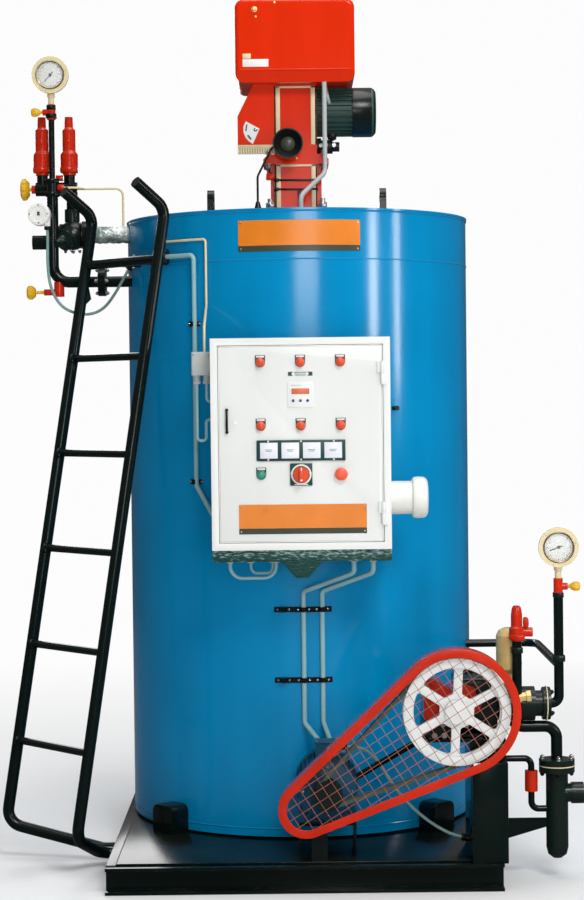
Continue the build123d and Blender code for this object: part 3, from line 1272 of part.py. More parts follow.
def pump_stand():
    """Sheet pedestal for the pump, trimmed under the belt guard, with a gusset to the strainer."""
    shoulder = GUARD_Y + GUARD_DEPTH + DOOR_GAP
    side = Polyline(
        (-PUMP_STAND_FRONT, RAIL_HEIGHT),
        (-PUMP_STAND_FRONT, PUMP_STAND_STEP),
        (shoulder, PUMP_STAND_STEP),
        (shoulder, PUMP_BASE),
        (-PUMP_STAND_BACK, PUMP_BASE),
        (-PUMP_STAND_BACK, RAIL_HEIGHT),
        close=True,
    )
    width = PUMP_STAND_RIGHT - PUMP_STAND_LEFT
    outline = make_face(side)
    stand = extrude(Plane(origin=(PUMP_STAND_LEFT, 0, 0), x_dir=(0, 1, 0), z_dir=(1, 0, 0)) * outline, width)
    hollow_front = -PUMP_STAND_FRONT + STAND_SHEET
    hollow = Polyline(
        (hollow_front, RAIL_HEIGHT),
        (hollow_front, PUMP_STAND_STEP - STAND_SHEET),
        (shoulder + STAND_SHEET, PUMP_STAND_STEP - STAND_SHEET),
        (shoulder + STAND_SHEET, PUMP_BASE - STAND_SHEET),
        (-PUMP_STAND_BACK, PUMP_BASE - STAND_SHEET),
        (-PUMP_STAND_BACK, RAIL_HEIGHT),
        close=True,
    )
    inner = Plane(origin=(PUMP_STAND_LEFT + STAND_SHEET, 0, 0), x_dir=(0, 1, 0), z_dir=(1, 0, 0))
    stand -= extrude(inner * make_face(hollow), width - 2 * STAND_SHEET)
    table = Rectangle(PUMP_STAND_RIGHT - PUMP_TABLE_LEFT, -PUMP_STAND_BACK - shoulder)
    middle = ((PUMP_STAND_RIGHT + PUMP_TABLE_LEFT) / 2, (shoulder - PUMP_STAND_BACK) / 2)
    stand += Pos(*middle, PUMP_BASE - STAND_SHEET) * extrude(table, STAND_SHEET)
    gusset = Polyline(
        (PUMP_STAND_RIGHT, GUSSET_TOP),
        (STRAINER_X, GUSSET_TOP),
        (STRAINER_X, GUSSET_TOP - STAND_SHEET * 2),
        (PUMP_STAND_RIGHT, GUSSET_TOP - GUSSET_DROP),
        close=True,
    )
    stand += extrude(at_front(PUMP_Y + STAND_SHEET / 2) * make_face(gusset), STAND_SHEET)
    pot_foot = (STRAINER_X, PUMP_Y, STRAINER_BASE)
    stand -= rod(pot_foot, (STRAINER_X, PUMP_Y, STRAINER_TOP), STRAINER_RADIUS + SEAT_GAP)
    stand += end_gland(along(MOTOR_CABLE_START, MOTOR_CABLE), STAND_GLAND_LENGTH)
    stand -= deck_plate()
    stand -= guard_block(SEAT_GAP)
    return stand.solids().sort_by(SortBy.VOLUME)[-1]


def guard_outline(margin):
    """Outline of the guard's front, grown by margin."""
    return teardrop(WHEEL_CENTRE, GUARD_BIG_RADIUS + margin, GUARD_SMALL_CENTRE, GUARD_SMALL_RADIUS + margin)


def guard_block(margin):
    """Solid of the guard's outside, grown by margin."""
    outline = guard_outline(margin)
    return extrude(at_front(GUARD_Y + GUARD_DEPTH + margin) * outline, GUARD_DEPTH + 2 * margin)


def pump_crankcase():
    """Crankcase with a bearing boss for the wheel's shaft and a crosshead neck towards the pump head."""
    case = extrude(RectangleRounded(CRANKCASE_WIDTH, CRANKCASE_DEPTH, CRANKCASE_WIDTH / 8), CRANKCASE_HEIGHT)
    case = fillet(case.faces().sort_by(Axis.Z)[-1].edges(), CRANKCASE_WIDTH / 10)
    case = Pos(WHEEL_X, CRANKCASE_DEPTH / 2 - CRANKCASE_FRONT, WHEEL_HEIGHT - CRANKCASE_HEIGHT / 2) * case
    nose = -CRANKCASE_FRONT - BEARING_LENGTH
    mouth = (WHEEL_X, nose, WHEEL_HEIGHT)
    case += rod((WHEEL_X, -CRANKCASE_FRONT + BEARING_LENGTH, WHEEL_HEIGHT), mouth, BEARING_RADIUS)
    case -= rod(mouth, (WHEEL_X, nose + SHAFT_SEAT + SHAFT_FIT, WHEEL_HEIGHT), SHAFT_RADIUS + SHAFT_FIT)
    neck = (WHEEL_X + CRANKCASE_WIDTH / 4, PUMP_Y, WHEEL_HEIGHT)
    return case + rod(neck, (PUMP_HEAD_START, PUMP_Y, WHEEL_HEIGHT), NECK_RADIUS)


def pump_head():
    """Barrel, bolted flange pair and outlet socket of the pump, turned along X."""
    r = PUMP_HEAD_RADIUS
    length = PUMP_HEAD_LENGTH
    profile = [
        (0, 0),
        (0, r * 1.2),
        (length * 0.12, r * 1.2),
        (length * 0.12, r),
        (length * 0.44, r),
        (length * 0.44, r * 1.3),
        (length * 0.7, r * 1.3),
        (length * 0.7, r * 0.75),
        (length, r * 0.6),
        (length, 0),
    ]
    return turned(profile, (PUMP_HEAD_START, PUMP_Y, WHEEL_HEIGHT), (1, 0, 0))


def grooves(radius, place):
    """Belt grooves to take out of a pulley whose axis runs through place."""
    x, z = place
    cut = []
    for side in (-1, 1):
        y = WHEEL_Y + side * BELT_PITCH / 2
        half = BELT_WIDTH / 2 + BELT_CLEARANCE
        ring = Circle(radius + BELT_DEPTH) - Circle(radius - BELT_DEPTH - 2 * BELT_CLEARANCE)
        cut.append(extrude(at_front(y + half) * (Pos(x, z) * ring), 2 * half))
    return cut


def pump_wheel():
    """Six-spoked wheel with belt grooves, on a stub of shaft."""
    x, z = WHEEL_CENTRE
    front = WHEEL_Y - WHEEL_WIDTH / 2
    back = WHEEL_Y + WHEEL_WIDTH / 2
    rim = extrude(at_front(back) * (Circle(WHEEL_RADIUS) - Circle(WHEEL_RADIUS - WHEEL_RIM)), WHEEL_WIDTH)
    half_angle = math.pi / SPOKE_COUNT
    apex = SPOKE_WIDTH / 2 / math.sin(half_angle)
    spread = 2 * WHEEL_RADIUS * math.tan(half_angle)
    far = apex + 2 * WHEEL_RADIUS
    wedge = make_face(Polyline((apex, 0), (far, spread), (far, -spread), close=True))
    window = (Circle(WHEEL_RADIUS - WHEEL_RIM - SPOKE_WIDTH / 8) - Circle(HUB_RADIUS * 1.4)) & wedge
    window = fillet(window.vertices(), SPOKE_WIDTH / 3)
    plate = Circle(WHEEL_RADIUS - WHEEL_RIM / 2)
    for arm in range(SPOKE_COUNT):
        plate -= Rot(0, 0, SPOKE_TURN + math.degrees(half_angle) * (2 * arm + 1)) * window
    web = extrude(at_front(WHEEL_Y + SPOKE_THICKNESS / 2) * plate, SPOKE_THICKNESS)
    hub = extrude(at_front(back) * Circle(HUB_RADIUS), WHEEL_WIDTH)
    wheel = Pos(x, 0, z) * (rim + web + hub)
    for groove in grooves(WHEEL_RADIUS, WHEEL_CENTRE):
        wheel -= groove
    shaft_end = -CRANKCASE_FRONT - BEARING_LENGTH + SHAFT_SEAT
    return wheel + rod((x, front, z), (x, shaft_end, z), SHAFT_RADIUS)


def motor_pulley():
    """Grooved motor pulley on a stub of shaft."""
    x, z = PULLEY_CENTRE
    front = WHEEL_Y - WHEEL_WIDTH / 2
    back = WHEEL_Y + WHEEL_WIDTH / 2
    pulley = rod((x, back, z), (x, front, z), PULLEY_RADIUS)
    for groove in grooves(PULLEY_RADIUS, PULLEY_CENTRE):
        pulley -= groove
    return pulley + rod((x, back, z), (x, -MOTOR_FRONT - BEARING_LENGTH + SHAFT_SEAT, z), SHAFT_RADIUS)


def drive_belt():
    """Two belts round the wheel and the motor pulley."""
    seat = BELT_CLEARANCE
    outer = teardrop(WHEEL_CENTRE, WHEEL_RADIUS - seat, PULLEY_CENTRE, PULLEY_RADIUS - seat)
    inner = teardrop(
        WHEEL_CENTRE, WHEEL_RADIUS - seat - BELT_DEPTH, PULLEY_CENTRE, PULLEY_RADIUS - seat - BELT_DEPTH
    )
    places = [WHEEL_Y + side * BELT_PITCH / 2 + BELT_WIDTH / 2 for side in (-1, 1)]
    return [extrude(at_front(y) * (outer - inner), BELT_WIDTH) for y in places]


def drive_motor():
    """Foot-mounted motor along Y with fins, a front shield and a rear cowl."""
    x, z = PULLEY_CENTRE
    barrel = Plane(origin=(x, -MOTOR_FRONT, z), x_dir=(1, 0, 0), z_dir=(0, 1, 0)) * finned_barrel(
        MOTOR_RADIUS, MOTOR_LENGTH, FIN_COUNT
    )
    nose = -MOTOR_FRONT - BEARING_LENGTH
    shield = [
        (0, 0),
        (0, MOTOR_RADIUS),
        (BEARING_LENGTH / 2, MOTOR_SHIELD),
        (BEARING_LENGTH, MOTOR_SHIELD / 2),
        (BEARING_LENGTH, 0),
    ]
    barrel += turned(shield, (x, -MOTOR_FRONT, z), (0, -1, 0))
    cowl = [
        (0, 0),
        (0, MOTOR_RADIUS + FIN_HEIGHT),
        (MOTOR_SHIELD * 0.8, MOTOR_RADIUS + FIN_HEIGHT),
        (MOTOR_SHIELD, MOTOR_RADIUS),
        (MOTOR_SHIELD, 0),
    ]
    barrel += turned(cowl, (x, -MOTOR_FRONT + MOTOR_LENGTH, z), (0, 1, 0))
    sole = Pos(x, -MOTOR_FRONT + MOTOR_LENGTH / 2, z - MOTOR_SHAFT_HEIGHT)
    barrel += sole * extrude(Rectangle(2 * MOTOR_RADIUS, MOTOR_LENGTH * 0.6), MOTOR_SHAFT_HEIGHT / 4)
    barrel += sole * extrude(Rectangle(MOTOR_RADIUS, MOTOR_LENGTH * 0.6), MOTOR_SHAFT_HEIGHT)
    barrel += Pos(x, TERMINAL_Y, z) * extrude(Rectangle(TERMINAL_BOX, TERMINAL_BOX), TERMINAL_HEIGHT)
    barrel += rod((x, TERMINAL_Y, TERMINAL_LEVEL), MOTOR_CABLE_START, CABLE_GLAND)
    return barrel - rod((x, nose, z), (x, nose + SHAFT_SEAT + SHAFT_FIT, z), SHAFT_RADIUS + SHAFT_FIT)


def motor_stand():
    """Folded stand between the deck and the motor's feet."""
    top = PULLEY_HEIGHT - MOTOR_SHAFT_HEIGHT
    width = 2 * MOTOR_RADIUS
    height = top - DECK_TOP
    outline = Pos(PULLEY_X, DECK_TOP + height / 2) * Rectangle(width, height)
    clear = Rectangle(width - 2 * STAND_SHEET, height - STAND_SHEET)
    outline -= Pos(PULLEY_X, DECK_TOP + (height - STAND_SHEET) / 2) * clear
    return extrude(at_front(-MOTOR_FRONT + MOTOR_LENGTH * 0.9) * outline, MOTOR_LENGTH * 0.8)


def guard_rim():
    """Belt guard: a side wall round both pulleys and a lip that frames the mesh."""
    outer = guard_outline(0)
    wall = extrude(at_front(GUARD_Y + GUARD_DEPTH) * (outer - guard_outline(-GUARD_SHEET)), GUARD_DEPTH)
    return wall + extrude(at_front(GUARD_Y + GUARD_SHEET) * (outer - guard_outline(-GUARD_LIP)), GUARD_SHEET)


def guard_mesh():
    """Square mesh behind the guard's lip, lined up with the guard's length."""
    run = Vector(*GUARD_SMALL_CENTRE) - Vector(*WHEEL_CENTRE)
    tilt = math.degrees(math.atan2(run.Y, run.X))
    edge = guard_outline(MESH_LAP - GUARD_LIP)
    reach = run.length + GUARD_BIG_RADIUS + GUARD_SMALL_RADIUS
    rows = int(GUARD_BIG_RADIUS // MESH_PITCH)
    columns = int(reach // MESH_PITCH)
    bars = [Pos(0, i * MESH_PITCH) * Rectangle(2 * reach, MESH_WIRE) for i in range(-rows, rows + 1)]
    across = Rectangle(MESH_WIRE, 2 * GUARD_BIG_RADIUS)
    bars += [Pos((i - rows) * MESH_PITCH, 0) * across for i in range(columns)]
    grid = bars[0]
    for bar in bars[1:]:
        grid += bar
    grid = (Pos(*WHEEL_CENTRE) * Rot(0, 0, tilt) * grid) & edge
    return extrude(at_front(GUARD_Y + GUARD_SHEET + MESH_WIRE) * grid, MESH_WIRE)


def guard_brackets():
    """Leg from the guard to the front rail, and the strut that keeps the motor off the pump stand."""
    height = GUARD_SMALL_HEIGHT - RAIL_HEIGHT
    outline = Pos(GUARD_LEG_X, RAIL_HEIGHT + height / 2) * Rectangle(GUARD_LEG_WIDTH, height)
    leg = extrude(at_front(-SKID_FRONT + RAIL_FLANGE) * outline, STAND_SHEET)
    leg = leg - guard_block(SEAT_GAP) - deck_plate()
    foot = (PULLEY_X + MOTOR_RADIUS / 2, PUMP_Y, PULLEY_HEIGHT)
    head = (PUMP_TABLE_LEFT + STAND_SHEET, PUMP_Y, PUMP_BASE - STAND_SHEET)
    strut = rod(foot, head, BRACE_RADIUS) - drive_motor() - pump_stand()
    return [leg.solids().sort_by(SortBy.VOLUME)[-1], strut.solids().sort_by(SortBy.VOLUME)[-1]]


def suction_strainer():
    """Flanged strainer pot with a rounded foot and a socket for the feed water."""
    r = STRAINER_RADIUS
    height = STRAINER_TOP - STRAINER_BASE
    profile = [
        (0, 0),
        (0, r * 0.4),
        (r * 0.35, r * 0.85),
        (r, r),
        (height - STRAINER_FLANGE_THICKNESS, r),
        (height - STRAINER_FLANGE_THICKNESS, STRAINER_FLANGE_RADIUS),
        (height + STRAINER_FLANGE_THICKNESS, STRAINER_FLANGE_RADIUS),
        (height + STRAINER_FLANGE_THICKNESS, 0),
    ]
    pot = turned(profile, (STRAINER_X, PUMP_Y, STRAINER_BASE), (0, 0, 1))
    mouth = (STRAINER_X + INLET_REACH, PUMP_Y, INLET_HEIGHT)
    socket = (mouth[0] - INLET_BORE_LENGTH, PUMP_Y, INLET_HEIGHT)
    pot += rod((STRAINER_X, PUMP_Y, INLET_HEIGHT), mouth, (INLET_BORE + INLET_RADIUS) / 2)
    pot += rod(socket, mouth, INLET_RADIUS)
    return pot - rod(mouth, socket, INLET_BORE)


def feed_pipes():
    """Discharge pipe to the shell with the gauge branch, suction bend and relief riser."""
    end = PUMP_HEAD_START + PUMP_HEAD_LENGTH
    gauge_run = pipe(
        [
            (end, PUMP_Y, WHEEL_HEIGHT),
            (FEED_GAUGE_X, PUMP_Y, WHEEL_HEIGHT),
            (FEED_GAUGE_X, PUMP_Y, FEED_COCK_BASE),
        ],
        FEED_PIPE_RADIUS * 1.6,
        FEED_PIPE_RADIUS,
    )
    discharge = pipe(
        [
            (FEED_GAUGE_X, PUMP_Y, FEED_BRANCH_HEIGHT),
            (FEED_GAUGE_X, FEED_INLET_Y, FEED_BRANCH_HEIGHT),
            (SHELL_RADIUS / 2, FEED_INLET_Y, FEED_BRANCH_HEIGHT),
        ],
        FEED_PIPE_RADIUS * 3,
        FEED_BRANCH_RADIUS,
    )
    gauge_run += discharge - shell_cutter(SHELL_HEIGHT, SHELL_BASE)
    head = pump_head()
    flange_top = STRAINER_TOP + STRAINER_FLANGE_THICKNESS
    suction = pipe(
        [
            (SUCTION_X, PUMP_Y, WHEEL_HEIGHT),
            (SUCTION_X, PUMP_Y, SUCTION_HEIGHT),
            (STRAINER_X, PUMP_Y, SUCTION_HEIGHT),
            (STRAINER_X, PUMP_Y, flange_top),
        ],
        SUCTION_BEND,
        SUCTION_RADIUS,
    )
    relief = rod((RELIEF_X, RELIEF_Y, WHEEL_HEIGHT), (RELIEF_X, RELIEF_Y, RELIEF_BASE), FEED_PIPE_RADIUS)
    drain = pipe(
        [
            (STRAINER_X, PUMP_Y, DRAIN_PIPE_LEVEL),
            (DRAIN_VALVE_X, PUMP_Y, DRAIN_PIPE_LEVEL),
            (DRAIN_VALVE_X, PUMP_Y, DRAIN_VALVE_BASE),
        ],
        DRAIN_PIPE_BEND,
        DRAIN_PIPE_RADIUS,
    )
    crown = DRAIN_VALVE_BASE + DRAIN_VALVE_HEIGHT
    riser = pipe(
        [
            (DRAIN_VALVE_X, PUMP_Y, crown),
            (DRAIN_VALVE_X, PUMP_Y, crown + DRAIN_PIPE_RISE),
            (PUMP_STAND_RIGHT, PUMP_Y, crown + DRAIN_PIPE_RISE),
        ],
        DRAIN_PIPE_BEND,
        DRAIN_PIPE_RADIUS,
    )
    return [
        gauge_run,
        (suction - head).solids().sort_by(Axis.Z)[0],
        (relief - head).solids().sort_by(Axis.Z)[-1],
        (drain - suction_strainer()).solids().sort_by(SortBy.VOLUME)[-1],
        riser,
    ]


def air_vessel():
    """Domed surge vessel standing on the pump head."""
    r = VESSEL_RADIUS
    base = WHEEL_HEIGHT
    rise = VESSEL_RISE
    profile = [
        (0, 0),
        (0, r * 0.4),
        (rise, r * 0.4),
        (rise + r * 0.4, r),
        (rise + VESSEL_HEIGHT - r * 0.6, r),
        (rise + VESSEL_HEIGHT - r * 0.2, r * 0.8),
        (rise + VESSEL_HEIGHT, r * 0.4),
        (rise + VESSEL_HEIGHT, 0),
    ]
    vessel = turned(profile, (VESSEL_X, VESSEL_Y, base), (0, 0, 1)) - pump_head()
    return vessel.solids().sort_by(Axis.Z)[-1]


def on_shell(x, height, radius):
    """Point at x in front of the shell where a bar of the given radius lies on it."""
    reach = SHELL_RADIUS + radius + SEAT_GAP
    return (x, -math.sqrt(reach ** 2 - x ** 2), height)


def conduits():
    """Conduits and short leads: shell side, below the panel, burner to lid, and loops at the panel."""
    r = CONDUIT_RADIUS
    below = PANEL_BASE - SHELF_HEIGHT
    panel_y = (PANEL_BACK + PANEL_FRONT) / 2
    panel_left = PANEL_X - PANEL_WIDTH / 2
    crest = SHELL_TOP - SIDE_CONDUIT_DROP
    foot = PANEL_BASE + SIDE_CONDUIT_ENTRY
    entry_x = panel_left + SIDE_CONDUIT_ENTRY / 2
    side = pipe(
        [
            on_shell(SIDE_CONDUIT_X - SIDE_CONDUIT_REACH, crest, 2 * r),
            on_shell(SIDE_CONDUIT_X, crest, 2 * r),
            on_shell(SIDE_CONDUIT_X, crest - SIDE_CONDUIT_FALL, r),
            on_shell(SIDE_CONDUIT_X, PANEL_BASE + SIDE_CONDUIT_LIFT, r),
            (entry_x, PANEL_BACK + SIDE_CONDUIT_ENTRY, foot),
            (entry_x, PANEL_BACK, foot),
        ],
        CONDUIT_BEND / 2,
        r,
    )
    drops = []
    for step in (0, 1):
        x = DROP_X + step * DROP_PITCH
        entry = PULLEY_X + (step - 1 / 2) * DROP_ENTRY_PITCH
        drops.append(
            pipe(
                [
                    (x, panel_y, below),
                    (x, panel_y, below - DROP_HANG),
                    on_shell(x - DROP_SHIFT, below - DROP_TOP, r),
                    on_shell(x - DROP_SHIFT, TERMINAL_LEVEL + DROP_FOOT / 2, r),
                    (entry, TERMINAL_Y + TERMINAL_BOX / 2 + DROP_HANG, TERMINAL_LEVEL),
                    (entry, TERMINAL_Y + TERMINAL_BOX / 2, TERMINAL_LEVEL),
                ],
                CONDUIT_BEND / 2,
                r,
            )
        )
    burner_y = BURNER_Y - HOOD_DEPTH / 2 + BURNER_CONDUIT_INSET
    burner = pipe(
        [
            (BURNER_CONDUIT_X, burner_y, BODY_TOP),
            (BURNER_CONDUIT_X, burner_y, NECK_TOP - BURNER_CONDUIT_TURN),
            (*BURNER_CONDUIT_END, LID_TOP + BURNER_CONDUIT_STAND),
            (*BURNER_CONDUIT_END, LID_TOP),
        ],
        CONDUIT_BEND,
        r,
    )
    loops = []
    for row, (x, width, depth, radius) in enumerate(PANEL_LOOPS):
        y = panel_y + row * PANEL_LOOP_PITCH
        corners = [(x, y, below), (x, y, below - depth), (x + width, y, below - depth), (x + width, y, below)]
        loops.append(pipe(corners, width * CABLE_TANGENT / 2 + radius, radius))
    gland_foot = PANEL_BASE + JUNCTION_ROW - GLAND_LENGTH
    near = panel_left - JUNCTION_WIDTH / 4
    far = panel_left - JUNCTION_WIDTH * 3 / 4
    turn_level = gland_foot - JUNCTION_LOOP_DROP
    loops.append(
        pipe(
            [
                (far, panel_y, gland_foot),
                (far, panel_y, turn_level),
                (far + JUNCTION_LOOP_WIDTH, panel_y, turn_level),
                (far + JUNCTION_LOOP_WIDTH, panel_y, turn_level + JUNCTION_LOOP_RISE),
                (panel_left, panel_y, turn_level + JUNCTION_LOOP_RISE),
            ],
            LEAD_BEND,
            LEAD_RADIUS,
        )
    )
    lead_level = gland_foot - JUNCTION_LEAD_DROP
    corners = [(near, panel_y, gland_foot), (near, panel_y, lead_level), (panel_left, panel_y, lead_level)]
    loops.append(pipe(corners, LEAD_BEND, LEAD_RADIUS))
    switch_gland = end_gland(along(SWITCH_CABLE_START, SWITCH_CABLE), SHELL_GLAND_LENGTH)
    return [side, *drops, burner, *loops, switch_gland - shell_cutter(SHELL_HEIGHT, SHELL_BASE)]


def capillary_tubes():
    """Thin tubes: header to the steam line, and shell front to the junction box."""
    end = -SHELL_RADIUS - HEADER_TUBE_REACH
    header_tube = pipe(
        [
            (HEADER_RIGHT, HEADER_Y, HEADER_HEIGHT),
            (end, HEADER_Y, HEADER_HEIGHT),
            (end, HEADER_Y, STEAM_LINE_HEIGHT),
        ],
        TUBE_BEND,
        TUBE_RADIUS,
    )
    line_start = (STEAM_VALVE_X, HEADER_Y, STEAM_LINE_HEIGHT)
    header_tube -= rod(line_start, (0, HEADER_Y, STEAM_LINE_HEIGHT), STEAM_LINE_RADIUS)
    crest = SHELL_TOP - SHELL_TUBE_DROP
    box_top = PANEL_BASE + JUNCTION_ROW + JUNCTION_HEIGHT
    panel_y = (PANEL_BACK + PANEL_FRONT) / 2
    middle = (SHELL_TUBE_LEFT + SHELL_TUBE_RIGHT) / 2
    shell_tube = pipe(
        [
            on_shell(SHELL_TUBE_LEFT, crest, 2 * TUBE_RADIUS),
            on_shell(middle, crest, 2 * TUBE_RADIUS),
            on_shell(SHELL_TUBE_RIGHT, crest, 2 * TUBE_RADIUS),
            on_shell(SHELL_TUBE_RIGHT, box_top + 2 * SHELL_TUBE_STAND, 2 * TUBE_RADIUS),
            (SHELL_TUBE_RIGHT, panel_y, box_top + SHELL_TUBE_STAND),
            (SHELL_TUBE_RIGHT, panel_y, box_top),
        ],
        TUBE_BEND / 2,
        TUBE_RADIUS,
    )
    return [header_tube.solids().sort_by(Axis.Z)[-1], shell_tube]


def switch_cable():
    """Cable that hangs from the pressure switch to its gland on the shell."""
    return cable(along(SWITCH_CABLE_START, SWITCH_CABLE), CABLE_RADIUS)


def motor_cable():
    """Cable that hangs from the motor's terminal box to the pump stand."""
    return cable(along(MOTOR_CABLE_START, MOTOR_CABLE), CABLE_RADIUS)


NODES = {
    "skid_end_rails": skid_end_rails,
    "skid_side_rails": skid_side_rails,
    "skid_cross_beams": skid_cross_beams,
    "deck_plate": deck_plate,
    "shell_bottom_plate": shell_bottom_plate,
    "shell_casing": shell_casing,
    "shell_top_plate": shell_top_plate,
    "shell_feet": shell_feet,
    "lifting_lugs": lifting_lugs,
    "flue_outlet": flue_outlet,
    "burner_neck": burner_neck,
    "burner_body": burner_body,
    "burner_hood": burner_hood,
    "burner_air_box": burner_air_box,
    "air_intake_grille": air_intake_grille,
    "burner_motor": burner_motor,
    "fuel_pump": fuel_pump,
    "alarm_horn": alarm_horn,
    "panel_box": panel_box,
    "panel_mounting_plate": panel_mounting_plate,
    "panel_bracket": panel_bracket,
    "panel_sounder": panel_sounder,
    "junction_box": junction_box,
    "panel_door": panel_door,
    "lamps_and_buttons": lamps_and_buttons,
    "door_instruments": door_instruments,
    "switch_knob": switch_knob,
    "door_handle": door_handle,
    "ladder_stiles": ladder_stiles,
    "ladder_rungs": ladder_rungs,
    "ladder_brackets": ladder_brackets,
    "steam_header": steam_header,
    "steam_valve": steam_valve,
    "steam_pipe": steam_pipe,
    "safety_valves": safety_valves,
    "pressure_gauges": pressure_gauges,
    "valve_bodies": valve_bodies,
    "steam_cock_knob": steam_cock_knob,
    "vent_knob": vent_knob,
    "drain_knob": drain_knob,
    "feed_cock_knob": feed_cock_knob,
    "pressure_switch": pressure_switch,
    "pump_stand": pump_stand,
    "pump_crankcase": pump_crankcase,
    "pump_head": pump_head,
    "pump_wheel": pump_wheel,
    "motor_pulley": motor_pulley,
    "drive_belt": drive_belt,
    "drive_motor": drive_motor,
    "motor_stand": motor_stand,
    "guard_rim": guard_rim,
    "guard_mesh": guard_mesh,
    "guard_brackets": guard_brackets,
    "suction_strainer": suction_strainer,
    "feed_pipes": feed_pipes,
    "air_vessel": air_vessel,
    "conduits": conduits,
    "capillary_tubes": capillary_tubes,
    "switch_cable": switch_cable,
    "motor_cable": motor_cable,
}


def solids_of(made):
    """Flat list of the solids in a piece or a list of pieces."""
    pieces = made if isinstance(made, list) else [made]
    return [solid for piece in pieces for solid in piece.solids()]


def main():
    os.makedirs("parts", exist_ok=True)
    for name, make in NODES.items():
        solids = solids_of(make())
        shape = solids[0] if len(solids) == 1 else Compound(children=solids)
        export_step(shape, f"parts/{name}.step")


main()
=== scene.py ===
"""Looks of a skid-mounted steam boiler: finishes for its frame, and the fine pieces that ride on it.

Metres, +Z up, the panel faces -Y. Pieces are modelled in millimetres, in the frame's own axes.
"""
import json
import math

import bpy
from bpy.props import FloatProperty, FloatVectorProperty, PointerProperty
from mathutils import Matrix, Vector

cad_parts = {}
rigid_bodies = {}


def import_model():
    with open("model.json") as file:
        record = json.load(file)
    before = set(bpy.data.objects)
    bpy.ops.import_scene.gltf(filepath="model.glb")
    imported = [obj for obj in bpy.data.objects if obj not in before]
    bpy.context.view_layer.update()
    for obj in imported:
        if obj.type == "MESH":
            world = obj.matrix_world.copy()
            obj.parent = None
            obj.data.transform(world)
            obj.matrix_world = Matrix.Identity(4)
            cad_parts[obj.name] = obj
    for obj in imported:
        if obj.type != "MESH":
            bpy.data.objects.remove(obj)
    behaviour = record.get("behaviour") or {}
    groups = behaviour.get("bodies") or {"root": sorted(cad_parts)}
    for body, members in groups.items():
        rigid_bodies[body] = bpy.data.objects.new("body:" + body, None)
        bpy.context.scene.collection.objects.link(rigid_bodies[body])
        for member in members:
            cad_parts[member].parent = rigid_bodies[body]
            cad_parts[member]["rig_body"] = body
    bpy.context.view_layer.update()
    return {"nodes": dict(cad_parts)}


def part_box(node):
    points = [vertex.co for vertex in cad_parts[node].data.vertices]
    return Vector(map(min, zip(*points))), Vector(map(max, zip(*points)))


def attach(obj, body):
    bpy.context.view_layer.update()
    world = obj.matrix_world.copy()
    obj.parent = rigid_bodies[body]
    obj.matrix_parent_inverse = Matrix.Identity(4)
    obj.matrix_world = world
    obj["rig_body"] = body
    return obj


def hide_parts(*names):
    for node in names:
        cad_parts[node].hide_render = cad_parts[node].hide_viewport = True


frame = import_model()

bl_info = {
    "name": "Steam boiler looks",
    "version": (1, 0, 0),
    "blender": (4, 5, 0),
    "location": "View3D > Sidebar > Boiler",
    "description": "Finishes and fine pieces of a skid-mounted steam boiler",
    "category": "Object",
}

ROOT = "boiler"
DOOR = "panel_door"


def distance(name, description, default):
    """Length property with its default in metres."""
    return FloatProperty(name=name, description=description, default=default, unit="LENGTH")


def colour(name, description, default):
    """Colour property with its linear default."""
    return FloatVectorProperty(
        name=name, description=description, subtype="COLOR", size=3, min=0.0, max=1.0, default=default
    )


class BoilerSizes(bpy.types.PropertyGroup):
    """Sizes of the fine pieces that a user would change."""

    bolt: distance("Bolt head", "Radius of a hexagon head over its corners", 0.0085)
    weld: distance("Weld bead", "Radius of a weld bead", 0.004)
    edge: distance("Edge rounding", "Rounding on the edges of folded sheet", 0.0015)
    wire: distance("Mesh wire", "Radius of the guard's mesh wire", 0.0008)
    floor: distance("Floor", "Radius of the studio floor", 40.0)


class BoilerColours(bpy.types.PropertyGroup):
    """Linear colours of the paints, plastics and metals."""

    blue: colour("Shell blue", "Gloss enamel on the shell and lid", (0.0, 0.212, 0.45))
    black: colour("Black enamel", "Gloss enamel on skid, ladder and pipes", (0.002, 0.006, 0.005))
    red: colour("Red enamel", "Guard, bearing casting and valve bodies", (0.46, 0.018, 0.004))
    burner: colour("Burner red", "Orange-red powder coat on the burner", (0.62, 0.020, 0.0))
    white: colour("Panel white", "Powder coat on the panel and wheel", (0.70, 0.715, 0.695))
    green: colour("Motor green", "Enamel on the burner's motor", (0.022, 0.055, 0.046))
    motor: colour("Motor blue", "Enamel on the pump's motor", (0.004, 0.060, 0.120))
    cream: colour("Cream", "Moulded gauge cases and trim", (0.72, 0.61, 0.36))
    yellow: colour("Yellow", "Moulded handwheels", (0.75, 0.42, 0.006))
    orange: colour("Plate orange", "Bare name plates", (0.72, 0.20, 0.012))
    grey: colour("Cable grey", "Cables and conduits", (0.42, 0.45, 0.44))


def settings():
    scene = bpy.context.scene
    return scene.boiler_sizes, scene.boiler_colours


# Shader helpers

GROUPS = {}
FINISHES = {}
GIVEN = {}


def add_node(tree, kind, values=None, **options):
    """Node of the given kind, with options set on it and values set on its inputs by name."""
    made = tree.nodes.new(kind)
    for key, value in options.items():
        setattr(made, key, value)
    for key, value in (values or {}).items():
        made.inputs[key].default_value = value
    return made


def new_group(name, inputs, output):
    """Empty shader group with number sockets: inputs have a default, and there is one output."""
    tree = bpy.data.node_groups.new(name, "ShaderNodeTree")
    for label, default in inputs.items():
        socket = tree.interface.new_socket(label, in_out="INPUT", socket_type="NodeSocketFloat")
        socket.default_value = default
    tree.interface.new_socket(output, in_out="OUTPUT", socket_type="NodeSocketFloat")
    return tree, tree.nodes.new("NodeGroupInput").outputs, tree.nodes.new("NodeGroupOutput").inputs[output]


